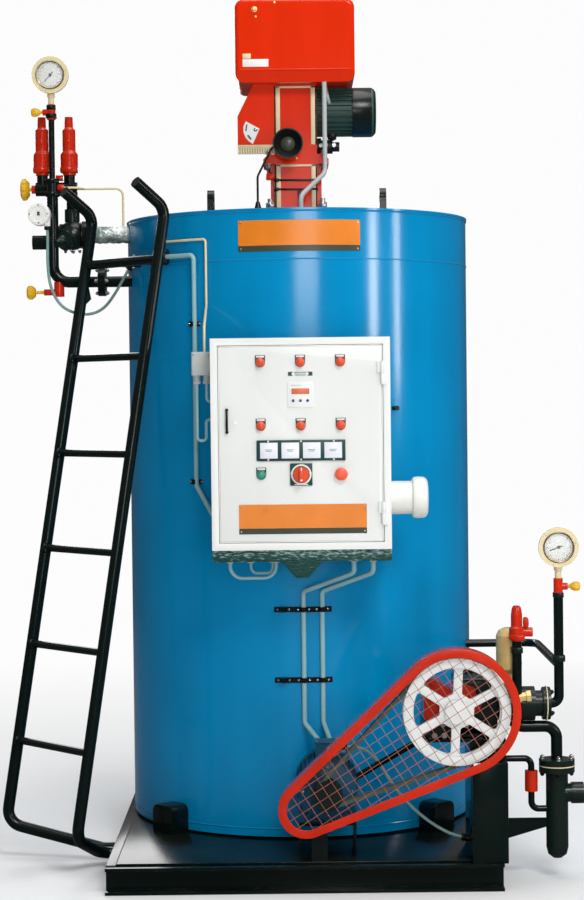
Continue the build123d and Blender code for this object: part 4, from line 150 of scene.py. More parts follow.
def object_noise(tree, scale, detail, stretch=(1, 1, 1)):
    """Noise on Object coordinates; stretch squeezes it along an axis."""
    place = add_node(tree, "ShaderNodeTexCoord")
    mapping = add_node(tree, "ShaderNodeMapping", {"Scale": stretch})
    noise = add_node(tree, "ShaderNodeTexNoise", {"Detail": detail})
    tree.links.new(place.outputs["Object"], mapping.inputs["Vector"])
    tree.links.new(mapping.outputs["Vector"], noise.inputs["Vector"])
    if isinstance(scale, (int, float)):
        noise.inputs["Scale"].default_value = scale
    else:
        tree.links.new(scale, noise.inputs["Scale"])
    return noise.outputs["Fac"]


def height_of(tree, source):
    """Z of a vector."""
    parts = add_node(tree, "ShaderNodeSeparateXYZ")
    tree.links.new(source, parts.inputs["Vector"])
    return parts.outputs["Z"]


def ramp(tree, source, low, high):
    """Value that goes from 0 to 1 as source goes from low to high."""
    made = add_node(tree, "ShaderNodeMapRange", {"From Min": low, "From Max": high}, clamp=True)
    tree.links.new(source, made.inputs["Value"])
    return made.outputs["Result"]


def arithmetic(tree, operation, *values):
    """Result of a Math node on numbers or other nodes' values."""
    made = add_node(tree, "ShaderNodeMath", operation=operation)
    for socket, value in zip(made.inputs, values):
        if isinstance(value, (int, float)):
            socket.default_value = value
        else:
            tree.links.new(value, socket)
    return made.outputs["Value"]


def mix_colour(tree, factor, first, second):
    """First colour where factor is 0, second where it is 1; a colour is three numbers or another node's."""
    made = add_node(tree, "ShaderNodeMix", data_type="RGBA")
    tree.links.new(factor, made.inputs[0])
    for socket, value in zip((made.inputs[6], made.inputs[7]), (first, second)):
        if isinstance(value, bpy.types.NodeSocket):
            tree.links.new(value, socket)
        else:
            socket.default_value = (*value, 1.0)
    return made.outputs[2]


def edge_chips_group():
    """Mask of worn edges: where a rounded normal leaves the flat one, broken up by noise."""
    tree, given, mask = new_group("Edge chips", {"Width": 0.002, "Amount": 0.5}, "Mask")
    bevel = add_node(tree, "ShaderNodeBevel", samples=4)
    geometry = add_node(tree, "ShaderNodeNewGeometry")
    dot = add_node(tree, "ShaderNodeVectorMath", operation="DOT_PRODUCT")
    tree.links.new(given["Width"], bevel.inputs["Radius"])
    tree.links.new(bevel.outputs["Normal"], dot.inputs[0])
    tree.links.new(geometry.outputs["Normal"], dot.inputs[1])
    edge = ramp(tree, dot.outputs["Value"], 0.985, 0.86)
    patches = ramp(tree, object_noise(tree, 55.0, 5.0), 0.52, 0.62)
    worn = arithmetic(tree, "MULTIPLY", edge, patches)
    tree.links.new(arithmetic(tree, "MULTIPLY", worn, given["Amount"]), mask)
    return tree


def dust_group():
    """Mask of dust that settles in soft patches on what faces up."""
    tree, given, mask = new_group("Settled dust", {"Amount": 0.3}, "Mask")
    geometry = add_node(tree, "ShaderNodeNewGeometry")
    facing_up = ramp(tree, height_of(tree, geometry.outputs["Normal"]), 0.25, 1.0)
    cloud = ramp(tree, object_noise(tree, 9.0, 6.0), 0.35, 0.75)
    laid = arithmetic(tree, "MULTIPLY", facing_up, cloud)
    tree.links.new(arithmetic(tree, "MULTIPLY", laid, given["Amount"]), mask)
    return tree


def shade_group():
    """Slow change of shade over a large surface, with faint runs down it."""
    tree, given, value = new_group("Uneven coat", {"Scale": 2.5}, "Value")
    cloud = object_noise(tree, given["Scale"], 3.0)
    runs = object_noise(tree, 14.0, 4.0, (1, 1, 0.06))
    faint = arithmetic(tree, "MULTIPLY", runs, 0.4)
    tree.links.new(arithmetic(tree, "MULTIPLY_ADD", cloud, 0.6, faint), value)
    return tree


def grain_group():
    """Height of a fine surface grain, with a coarser swell under it."""
    tree, given, height = new_group("Surface grain", {"Scale": 400.0, "Swell": 0.3}, "Height")
    fine = object_noise(tree, given["Scale"], 2.0)
    swell = object_noise(tree, 5.0, 2.0)
    tree.links.new(arithmetic(tree, "MULTIPLY_ADD", swell, given["Swell"], fine), height)
    return tree


def place_group(tree, name, **values):
    """Output of a shader group placed in a material with its own values."""
    return add_node(tree, "ShaderNodeGroup", values, node_tree=GROUPS[name]).outputs[0]


def new_material(name, **sockets):
    """Nodes of a new material, whose constant values are set on its Principled shader's own sockets."""
    FINISHES[name] = made = bpy.data.materials.new(name)
    made.use_nodes = True
    shader = made.node_tree.nodes["Principled BSDF"]
    for key, value in sockets.items():
        shader.inputs[key.replace("_", " ").title().replace("Ior", "IOR")].default_value = value
    return made.node_tree, shader


def bump(tree, shader, height, strength, distance):
    made = add_node(tree, "ShaderNodeBump", {"Strength": strength, "Distance": distance})
    tree.links.new(height, made.inputs["Height"])
    tree.links.new(made.outputs["Normal"], shader.inputs["Normal"])


def painted(
    name, base, rough, chips=0.5, dust=0.25, under=(0.05, 0.035, 0.025), peel=0.06, shade=0.18, shine=0.3
):
    """Brushed or sprayed enamel over steel: uneven coat, chipped edges, settled dust and orange peel."""
    tree, shader = new_material(name, specular_ior_level=shine)
    uneven = place_group(tree, "Uneven coat")
    darker = tuple(c * (1 - shade) for c in base)
    lighter = tuple(min(1.0, c * (1 + shade)) for c in base)
    coat = mix_colour(tree, ramp(tree, uneven, 0.35, 0.65), darker, lighter)
    chipped = place_group(tree, "Edge chips", Amount=chips)
    dusty = place_group(tree, "Settled dust", Amount=dust)
    worn = mix_colour(tree, chipped, coat, under)
    tree.links.new(mix_colour(tree, dusty, worn, (0.30, 0.28, 0.25)), shader.inputs["Base Color"])
    varied = arithmetic(tree, "MULTIPLY_ADD", uneven, 0.12, rough - 0.06)
    dull = arithmetic(tree, "MULTIPLY_ADD", dusty, 0.5, varied)
    tree.links.new(arithmetic(tree, "MULTIPLY_ADD", chipped, 0.3, dull), shader.inputs["Roughness"])
    bump(tree, shader, place_group(tree, "Surface grain", Scale=240.0), peel, 0.0015)


def moulded(name, base, rough, grain=0.05, dust=0.2, **sockets):
    """Moulded plastic: fine grain, handled patches and a little dust."""
    tree, shader = new_material(name, **sockets)
    uneven = place_group(tree, "Uneven coat", Scale=18.0)
    shade = mix_colour(tree, ramp(tree, uneven, 0.3, 0.7), tuple(c * 0.86 for c in base), base)
    dusty = place_group(tree, "Settled dust", Amount=dust)
    tree.links.new(mix_colour(tree, dusty, shade, (0.36, 0.33, 0.28)), shader.inputs["Base Color"])
    tree.links.new(arithmetic(tree, "MULTIPLY_ADD", uneven, 0.2, rough - 0.1), shader.inputs["Roughness"])
    bump(tree, shader, place_group(tree, "Surface grain", Scale=900.0), grain, 0.0006)


def bare_metal(name, base, rough, stain, stain_amount, metal=1.0):
    """Bare or plated metal with stains in soft patches and a fine surface grain."""
    tree, shader = new_material(name, metallic=metal)
    patches = ramp(tree, object_noise(tree, 26.0, 6.0), 0.42, 0.68)
    marked = arithmetic(tree, "MULTIPLY", patches, stain_amount)
    tree.links.new(mix_colour(tree, marked, base, stain), shader.inputs["Base Color"])
    tree.links.new(arithmetic(tree, "MULTIPLY_ADD", marked, 0.35, rough), shader.inputs["Roughness"])
    bump(tree, shader, place_group(tree, "Surface grain", Scale=160.0), 0.12, 0.001)


def crumpled_foil(name, dull, bright):
    """Crumpled aluminium foil over lagging, with dark greenish patches painted in as shade and reflection in
    its crumples.
    """
    tree, shader = new_material(name, metallic=0.6)
    place = add_node(tree, "ShaderNodeTexCoord")
    creases = add_node(tree, "ShaderNodeTexVoronoi", {"Scale": 60.0}, feature="DISTANCE_TO_EDGE")
    warp = object_noise(tree, 45.0, 5.0)
    tree.links.new(place.outputs["Object"], creases.inputs["Vector"])
    folds = ramp(tree, creases.outputs["Distance"], 0.0, 0.2)
    # painted shade and reflection: soft patches where the foil takes the dark greenish colour
    painted_reflection_patches = ramp(tree, object_noise(tree, 24.0, 4.0), 0.40, 0.62)
    tree.links.new(mix_colour(tree, painted_reflection_patches, dull, bright), shader.inputs["Base Color"])
    tree.links.new(arithmetic(tree, "MULTIPLY_ADD", warp, 0.3, 0.28), shader.inputs["Roughness"])
    bump(tree, shader, arithmetic(tree, "ADD", folds, warp), 0.4, 0.004)


def mottled(name, dark, light, rough):
    """Gloss paint on crinkled sheet: pale streaks on dark, partly the paint's flecks and partly painted
    glints, closer together towards the panel's foot as painted light from above.
    """
    tree, shader = new_material(name, specular_ior_level=0.4)
    place = add_node(tree, "ShaderNodeTexCoord")
    # painted light from above: the pale streaks grow denser towards the bracket's top
    painted_top_light = ramp(tree, height_of(tree, place.outputs["Object"]), 0.900, 0.934)
    flecks = object_noise(tree, 190.0, 8.0, (0.4, 1, 1.4))
    # pale streaks: partly the paint's own flecks, partly painted glints on the crinkles
    speckle_and_painted_glints = ramp(tree, arithmetic(tree, "MULTIPLY_ADD", painted_top_light, 0.22, flecks), 0.62, 0.86)
    tree.links.new(mix_colour(tree, speckle_and_painted_glints, dark, light), shader.inputs["Base Color"])
    tree.links.new(arithmetic(tree, "MULTIPLY_ADD", flecks, 0.3, rough), shader.inputs["Roughness"])
    bump(tree, shader, flecks, 0.8, 0.004)


def make_finishes():
    paint = settings()[1]
    for name, make in (
        ("Edge chips", edge_chips_group),
        ("Settled dust", dust_group),
        ("Uneven coat", shade_group),
        ("Surface grain", grain_group),
    ):
        GROUPS[name] = make()
    painted(
        "blue_paint", paint.blue, 0.14,
        chips=0.25, dust=0.12, under=(0.02, 0.05, 0.08), peel=0.05, shade=0.10, shine=0.4,
    )
    painted("black_paint", paint.black, 0.18, dust=0.03, under=(0.10, 0.09, 0.08), peel=0.12, shine=0.25)
    painted("red_paint", paint.red, 0.16, chips=0.4, dust=0.12, peel=0.08)
    painted(
        "burner_red", paint.burner, 0.16,
        chips=0.25, dust=0.06, under=(0.25, 0.03, 0.01), peel=0.10, shade=0.08, shine=0.22,
    )
    painted(
        "white_paint", paint.white, 0.38,
        chips=0.10, dust=0.05, under=(0.45, 0.44, 0.40), peel=0.08, shade=0.025,
    )
    painted("motor_blue", paint.motor, 0.30, chips=0.3, dust=0.08, under=(0.08, 0.10, 0.11), peel=0.15)
    painted("motor_green", paint.green, 0.34, chips=0.35, dust=0.18, under=(0.12, 0.13, 0.12), peel=0.15)
    painted("iron", (0.005, 0.012, 0.009), 0.24, chips=0.3, dust=0.05, under=(0.10, 0.09, 0.08), peel=0.22)
    moulded("cream_plastic", paint.cream, 0.38)
    # darker copy of the cream: painted shade for the gaps between the grille's ribs
    moulded("cream_painted_shade", (0.40, 0.32, 0.17), 0.45)
    moulded("yellow_plastic", paint.yellow, 0.30)
    moulded("black_plastic", (0.005, 0.006, 0.006), 0.26, grain=0.06, dust=0.04, specular_ior_level=0.3)
    moulded("red_plastic", (0.68, 0.070, 0.022), 0.26, dust=0.05)
    moulded("stop_red", (0.80, 0.11, 0.055), 0.30, dust=0.05)
    moulded("display_red", (0.60, 0.13, 0.070), 0.22, dust=0.0)
    moulded("mesh_red", (0.34, 0.11, 0.075), 0.40, dust=0.0)
    moulded("green_plastic", (0.045, 0.28, 0.21), 0.28, dust=0.05)
    moulded("dark_green", (0.010, 0.055, 0.048), 0.36, dust=0.04)
    moulded("blue_plastic", (0.004, 0.045, 0.22), 0.30, dust=0.0)
    moulded("grey_plastic", paint.grey, 0.42, grain=0.10)
    moulded("cable_grey", (0.20, 0.32, 0.31), 0.42, grain=0.10)
    # blue-grey: the conduits' grey with the blue shell's reflection painted in
    moulded("conduit_grey_shell_reflection", (0.25, 0.46, 0.50), 0.40, grain=0.10)
    moulded("white_plastic", (0.78, 0.78, 0.74), 0.32, dust=0.06)
    moulded("window_white", (0.74, 0.76, 0.82), 0.24, dust=0.0)
    moulded("dial_white", (0.70, 0.72, 0.68), 0.35, dust=0.0)
    moulded("belt_rubber", (0.050, 0.075, 0.058), 0.60, grain=0.25)
    moulded("plate_orange", paint.orange, 0.30, dust=0.04)
    moulded("plate_dark", (0.045, 0.050, 0.030), 0.34, dust=0.04)
    bare_metal("galvanised", (0.62, 0.63, 0.62), 0.34, (0.34, 0.34, 0.32), 0.6)
    bare_metal("brass", (0.86, 0.64, 0.26), 0.32, (0.56, 0.38, 0.15), 0.45, metal=0.35)
    bare_metal("brass_dull", (0.46, 0.38, 0.24), 0.42, (0.22, 0.17, 0.09), 0.6)
    bare_metal("steel", (0.66, 0.66, 0.64), 0.26, (0.24, 0.20, 0.16), 0.4)
    bare_metal("bright_steel", (0.82, 0.82, 0.80), 0.20, (0.40, 0.38, 0.34), 0.3)
    # pale colour: the paint's flecks and painted glints, laid on more thickly near the top as painted light
    mottled("mottled_green", (0.006, 0.048, 0.040), (0.26, 0.42, 0.40), 0.16)
    # dark greenish colour: painted shade and reflection in the foil's crumples; pale colour: the bare foil
    crumpled_foil("foil", (0.13, 0.21, 0.19), (0.74, 0.79, 0.77))
    new_material("glass", base_color=(1, 1, 1, 1), roughness=0.03, alpha=0.07)


def finish_node(name, finish):
    """Gives a frame node one of the finishes."""
    target = frame["nodes"][name]
    target.data.materials.clear()
    target.data.materials.append(FINISHES[finish])
    GIVEN[name] = finish


class BOILER_OT_finishes(bpy.types.Operator):
    """Make the finishes and give each frame node the one that its slot names"""

    bl_idname = "boiler.finishes"
    bl_label = "Finishes"

    def execute(self, context):
        make_finishes()
        for name, node in frame["nodes"].items():
            finish_node(name, node.data.materials[0].name)
        return {"FINISHED"}


# Modelling helpers, with points and sizes in millimetres

MM = 0.001
ORIGIN = Vector((0, 0, 0))
FRONT = Vector((0, -1, 0))
UP = Vector((0, 0, 1))
RIGHT = Vector((1, 0, 0))
SHELL_RADIUS = 525.0


def metres(point):
    return Vector(point) * MM


def span(node):
    """Lowest and highest corner of a frame node."""
    return [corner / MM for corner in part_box(node)]


def deselect():
    bpy.ops.object.select_all(action="DESELECT")


def only(obj):
    deselect()
    obj.select_set(True)
    bpy.context.view_layer.objects.active = obj


def named(obj, name):
    obj.name = name
    obj.data.name = name
    return obj


def linked(name, data):
    """New object in the scene that holds the data."""
    made = bpy.data.objects.new(name, data)
    bpy.context.scene.collection.objects.link(made)
    return made


def added(name):
    """The object that an operator has just added, named, with its place put into its mesh."""
    bpy.ops.object.transform_apply(location=True, rotation=True, scale=True)
    return named(bpy.context.object, name)


def modify(obj, kind, **options):
    """Adds a modifier and applies it."""
    only(obj)
    made = obj.modifiers.new(kind.title(), kind)
    for key, value in options.items():
        setattr(made, key, value)
    bpy.ops.object.modifier_apply(modifier=made.name)
    return obj


def cut(obj, cutter):
    """Cuts one piece out of another and removes the cutter."""
    modify(obj, "BOOLEAN", object=cutter, operation="DIFFERENCE", solver="EXACT")
    bpy.data.objects.remove(cutter)
    return obj


def rounded(obj, width, segments=2, angle=30):
    limit = math.radians(angle)
    return modify(obj, "BEVEL", width=width * MM, segments=segments, limit_method="ANGLE", angle_limit=limit)


def block(name, low, high, edge=1.0, segments=2):
    """Block with rounded edges."""
    deselect()
    low, high = metres(low), metres(high)
    bpy.ops.mesh.primitive_cube_add(size=1, location=(low + high) / 2, scale=high - low)
    return rounded(added(name), edge, segments)


def bar(name, start, end, radius, sides=24, edge=0.6):
    """Bar between two points, with its ends eased."""
    deselect()
    start, end = metres(start), metres(end)
    run = end - start
    turn = run.to_track_quat("Z", "Y").to_euler()
    bpy.ops.mesh.primitive_cylinder_add(
        vertices=sides, radius=radius * MM, depth=run.length, location=(start + end) / 2, rotation=turn
    )
    return rounded(added(name), edge, 1, 50)


def drawn(name, points):
    """Chain of edges through the points, left in edit mode with all of it selected."""
    deselect()
    points = [metres(p) for p in points]
    bpy.ops.mesh.primitive_plane_add(size=MM, location=points[0])
    made = added(name)
    bpy.ops.object.mode_set(mode="EDIT")
    bpy.ops.mesh.select_all(action="SELECT")
    bpy.ops.mesh.merge(type="CENTER")
    for here, there in zip(points, points[1:]):
        bpy.ops.mesh.extrude_vertices_move(TRANSFORM_OT_translate={"value": there - here})
    bpy.ops.mesh.select_all(action="SELECT")
    return made


def leave_edit(made):
    """Merges doubles, turns the faces outwards and goes back to object mode."""
    bpy.ops.mesh.select_all(action="SELECT")
    bpy.ops.mesh.remove_doubles(threshold=0.02 * MM)
    bpy.ops.mesh.normals_make_consistent(inside=False)
    bpy.ops.object.mode_set(mode="OBJECT")
    return made


def lathe(name, profile, origin, axis, steps=32):
    """Solid turned about an axis: profile is (distance along the axis, radius) pairs."""
    origin, axis = Vector(origin), Vector(axis).normalized()
    side = axis.orthogonal().normalized()
    made = drawn(name, [origin + axis * along + side * out for along, out in profile])
    bpy.ops.mesh.spin(steps=steps, angle=math.tau, center=origin * MM, axis=axis)
    return leave_edit(made)


def ring(name, profile, origin, axis, steps=32):
    """Lathe-turned ring: its profile stays clear of the axis and is closed."""
    return lathe(name, profile + profile[:1], origin, axis, steps)


def sheet_of(name, outline, push, edge=0.3):
    """Flat outline pushed out to a plate along a vector, with its edges eased."""
    made = drawn(name, outline)
    bpy.ops.mesh.edge_face_add()
    bpy.ops.mesh.extrude_region_move(TRANSFORM_OT_translate={"value": metres(push)})
    return rounded(leave_edit(made), edge, 1, 60)


def arc_sheet(name, thick, low, high, start, end, steps=24):
    """Sheet rolled to lie on the shell, between two heights and two angles from the front in degrees."""
    outline = [(0, low), (thick, low), (thick, high), (0, high)]
    turn = math.radians(start)
    away = Vector((math.sin(turn), -math.cos(turn), 0))
    made = drawn(name, [away * (SHELL_RADIUS + out) + UP * z for out, z in outline])
    bpy.ops.mesh.edge_face_add()
    bpy.ops.mesh.spin(steps=steps, angle=math.radians(start - end), center=ORIGIN, axis=UP)
    return rounded(leave_edit(made), thick / 3, 1, 60)


def nurbs_line(name, points, radius, sides, resolution):
    """Round curve along a smooth line through the points."""
    line = bpy.data.curves.new(name, "CURVE")
    line.dimensions = "3D"
    line.bevel_depth = radius * MM
    line.bevel_resolution = sides
    line.use_fill_caps = True
    spline = line.splines.new("NURBS")
    spline.points.add(len(points) - 1)
    for control, point in zip(spline.points, points):
        control.co = (*metres(point), 1)
    spline.order_u = 3
    spline.use_endpoint_u = True
    spline.resolution_u = resolution
    return linked(name, line)


def tube(name, points, radius):
    """Bent tube along a smooth line through the points, made a mesh."""
    only(nurbs_line(name, points, radius, 3, 8))
    bpy.ops.object.convert(target="MESH")
    return bpy.context.object


def join(name, pieces):
    """Joins pieces into the first one."""
    deselect()
    for piece in pieces:
        piece.select_set(True)
    bpy.context.view_layer.objects.active = pieces[0]
    bpy.ops.object.join()
    return named(bpy.context.object, name)


def copies(name, pattern, places):
    """One piece made of a copy of the pattern at each place; the pattern itself is removed."""
    made = []
    for place in places:
        mesh = pattern.data.copy()
        mesh.transform(place)
        made.append(linked(name, mesh))
    bpy.data.objects.remove(pattern)
    return join(name, made)


def row_of(name, pattern, steps):
    """One piece made of copies of the pattern, each moved by one of the steps."""
    return copies(name, pattern, [Matrix.Translation(metres(step)) for step in steps])


def settle(obj, finish, body=ROOT, angle=35, replaces=()):
    """Finishes a piece: material, smooth shading, body and the frame nodes it stands for."""
    only(obj)
    bpy.ops.object.shade_smooth_by_angle(angle=math.radians(angle))
    obj.data.materials.clear()
    obj.data.materials.append(FINISHES[finish])
    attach(obj, body)
    if replaces:
        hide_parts(*replaces)
    return obj


def facing(point, direction):
    """Place with its +Z along a direction."""
    turn = Vector(direction).to_track_quat("Z", "Y").to_matrix().to_4x4()
    return Matrix.Translation(metres(point)) @ turn


def polar(centre, axis, radius, count, start=0.0):
    """Points evenly round an axis."""
    first = axis.orthogonal().normalized() * radius
    turns = [math.radians(start) + math.tau * i / count for i in range(count)]
    return [Vector(centre) + Matrix.Rotation(turn, 3, axis) @ first for turn in turns]


def on_shell(x, z, out=0.0):
    """Point on the front of the shell, and the way that it faces."""
    away = Vector((x, -math.sqrt(SHELL_RADIUS**2 - x**2), 0)).normalized()
    return away * (SHELL_RADIUS + out) + UP * z, away


def hex_bolt(radius):
    """Hexagon head on a washer with the stud's end showing, standing on z = 0."""
    washer = bar("washer", ORIGIN, UP * radius * 0.28, radius * 1.35, 20, radius * 0.08)
    head = bar("head", UP * radius * 0.28, UP * radius * 1.35, radius, 6, radius * 0.14)
    stub = bar("stub", UP * radius * 1.3, UP * radius * 1.75, radius * 0.5, 10, radius * 0.1)
    return join("hex_bolt", [washer, head, stub])


def pan_screw(radius):
    """Domed screw head with a slot across it, standing on z = 0."""
    profile = [(0, 0), (0, radius), (radius * 0.3, radius), (radius * 0.6, radius * 0.72), (radius * 0.7, 0)]
    head = lathe("pan_screw", profile, ORIGIN, UP, 16)
    low = (-2 * radius, -radius * 0.14, radius * 0.42)
    return cut(head, block("slot", low, (2 * radius, radius * 0.14, radius), 0.02, 1))


def bolts(name, spots, direction, finish="steel", radius=None):
    """Hexagon bolts at the spots, all facing one way."""
    pattern = hex_bolt(radius or settings()[0].bolt / MM)
    return settle(copies(name, pattern, [facing(spot, direction) for spot in spots]), finish)


def screws(name, spots, direction, radius, finish="steel", body=ROOT):
    """Slotted screws at the spots, all facing one way."""
    return settle(copies(name, pan_screw(radius), [facing(spot, direction) for spot in spots]), finish, body)


def copy_of(node, whole=True):
    """Copy of a frame node with its vertices merged and, if asked, its flat faces whole."""
    made = linked(node + "_eased", frame["nodes"][node].data.copy())
    only(made)
    bpy.ops.mesh.customdata_custom_splitnormals_clear()
    bpy.ops.object.mode_set(mode="EDIT")
    bpy.ops.mesh.select_all(action="SELECT")
    bpy.ops.mesh.remove_doubles(threshold=0.01 * MM)
    if whole:
        bpy.ops.mesh.dissolve_limited(angle_limit=math.radians(0.4))
    bpy.ops.object.mode_set(mode="OBJECT")
    return made


def softened(node, width=None, segments=2, finish=None):
    """Copy of a frame node with eased edges, which stands for the node."""
    made = rounded(copy_of(node), width or settings()[0].edge / MM, segments, 40)
    return settle(made, finish or GIVEN[node], frame["nodes"][node]["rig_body"], 40, [node])


def fluted_knob(node, flutes):
    """Copy of a handwheel with finger flutes pressed into its rim, which stands for it."""
    low, high = span(node)
    centre, reach = (low + high) / 2, RIGHT * (high.x - low.x)
    radius = (high.z - low.z) / 2
    made = softened(node, 0.8)
    flute = bar("flute", centre - reach, centre + reach, radius * 0.24, 16, 0.2)
    turns = [math.tau * i / flutes for i in range(flutes)]
    steps = [Vector((0, math.cos(turn), math.sin(turn))) * radius * 1.12 for turn in turns]
    only(cut(made, row_of("flutes", flute, steps)))
    bpy.ops.object.shade_smooth_by_angle(angle=math.radians(40))


# Pieces

BASE_WELD_RADIUS = 513.0
BASE_WELD_LEVEL = 81.0
FLUE_FLANGE = (0, 605, 1560)
SEAM_TURN = 217
COLUMN_SPANS = ((2132, 2310), (1922, 2071))


class BOILER_OT_skid(bpy.types.Operator):
    """Ease the edges of the folded steel, and weld down the shell and the deck"""

    bl_idname = "boiler.skid"
    bl_label = "Skid"

    def execute(self, context):
        bead = settings()[0].weld / MM
        for node in (
            "skid_end_rails", "skid_side_rails", "deck_plate", "shell_feet", "pump_stand", "motor_stand",
        ):
            softened(node)
        profile = [(0, 0), (bead, 0), (0.7 * bead, 0.5 * bead), (0.2 * bead, bead), (0, bead)]
        base = [(along, BASE_WELD_RADIUS + out) for along, out in profile]
        settle(lathe("base_weld", base, UP * BASE_WELD_LEVEL, UP, 96), "black_paint")
        low, high = span("deck_plate")
        line = [(0, low.y, high.z - 6), (0, 0, high.z - 5.4), (0, high.y, high.z - 6)]
        settle(row_of("deck_weld", tube("run", line, bead), [RIGHT * low.x, RIGHT * high.x]), "black_paint")
        return {"FINISHED"}


class BOILER_OT_shell(bpy.types.Operator):
    """Put the name plate, the hoops, the seam cover, the lid's weld and the flue's bolts on the shell"""

    bl_idname = "boiler.shell"
    bl_label = "Shell"

    def execute(self, context):
        start, end = -18.9, 20.2
        settle(arc_sheet("shell_plate", 1.6, 1797, 1870, start, end), "plate_orange")
        settle(arc_sheet("shell_plate_strip", 1.6, 1780, 1796.5, start, end), "plate_dark")
        rivets = [facing(*on_shell(x, z, 1.6)) for x in (-163, 174) for z in (1863, 1787)]
        settle(copies("shell_plate_rivets", pan_screw(2.6), rivets), "steel")
        hoop = self.bead("hoop", 0, 4.4, 0.9, 1.8)
        settle(row_of("casing_hoops", hoop, [UP * 1756, UP * 110]), "blue_paint")
        settle(self.bead("lid_weld", 1894, 4.8, 1.5, 2.6), "blue_paint")
        cover = arc_sheet("casing_seam_cover", 1.8, 116, 1750, SEAM_TURN - 3, SEAM_TURN + 3, 6)
        settle(cover, "blue_paint")
        away = Matrix.Rotation(math.radians(SEAM_TURN), 3, UP) @ FRONT
        spots = [away * (SHELL_RADIUS + 1.8) + UP * z for z in range(150, 1750, 160)]
        screws("casing_seam_screws", spots, away, 4.5)
        bolts("flue_bolts", polar(FLUE_FLANGE, FRONT, 132.5, 8, 22.5), FRONT, radius=9)
        return {"FINISHED"}

    def bead(self, name, level, height, edge, out):
        """Bead that stands out from the casing all round."""
        profile = [(0, 0), (0, edge), (height / 2, out), (height, edge), (height, 0)]
        return lathe(name, [(along, SHELL_RADIUS + off) for along, off in profile], UP * level, UP, 128)


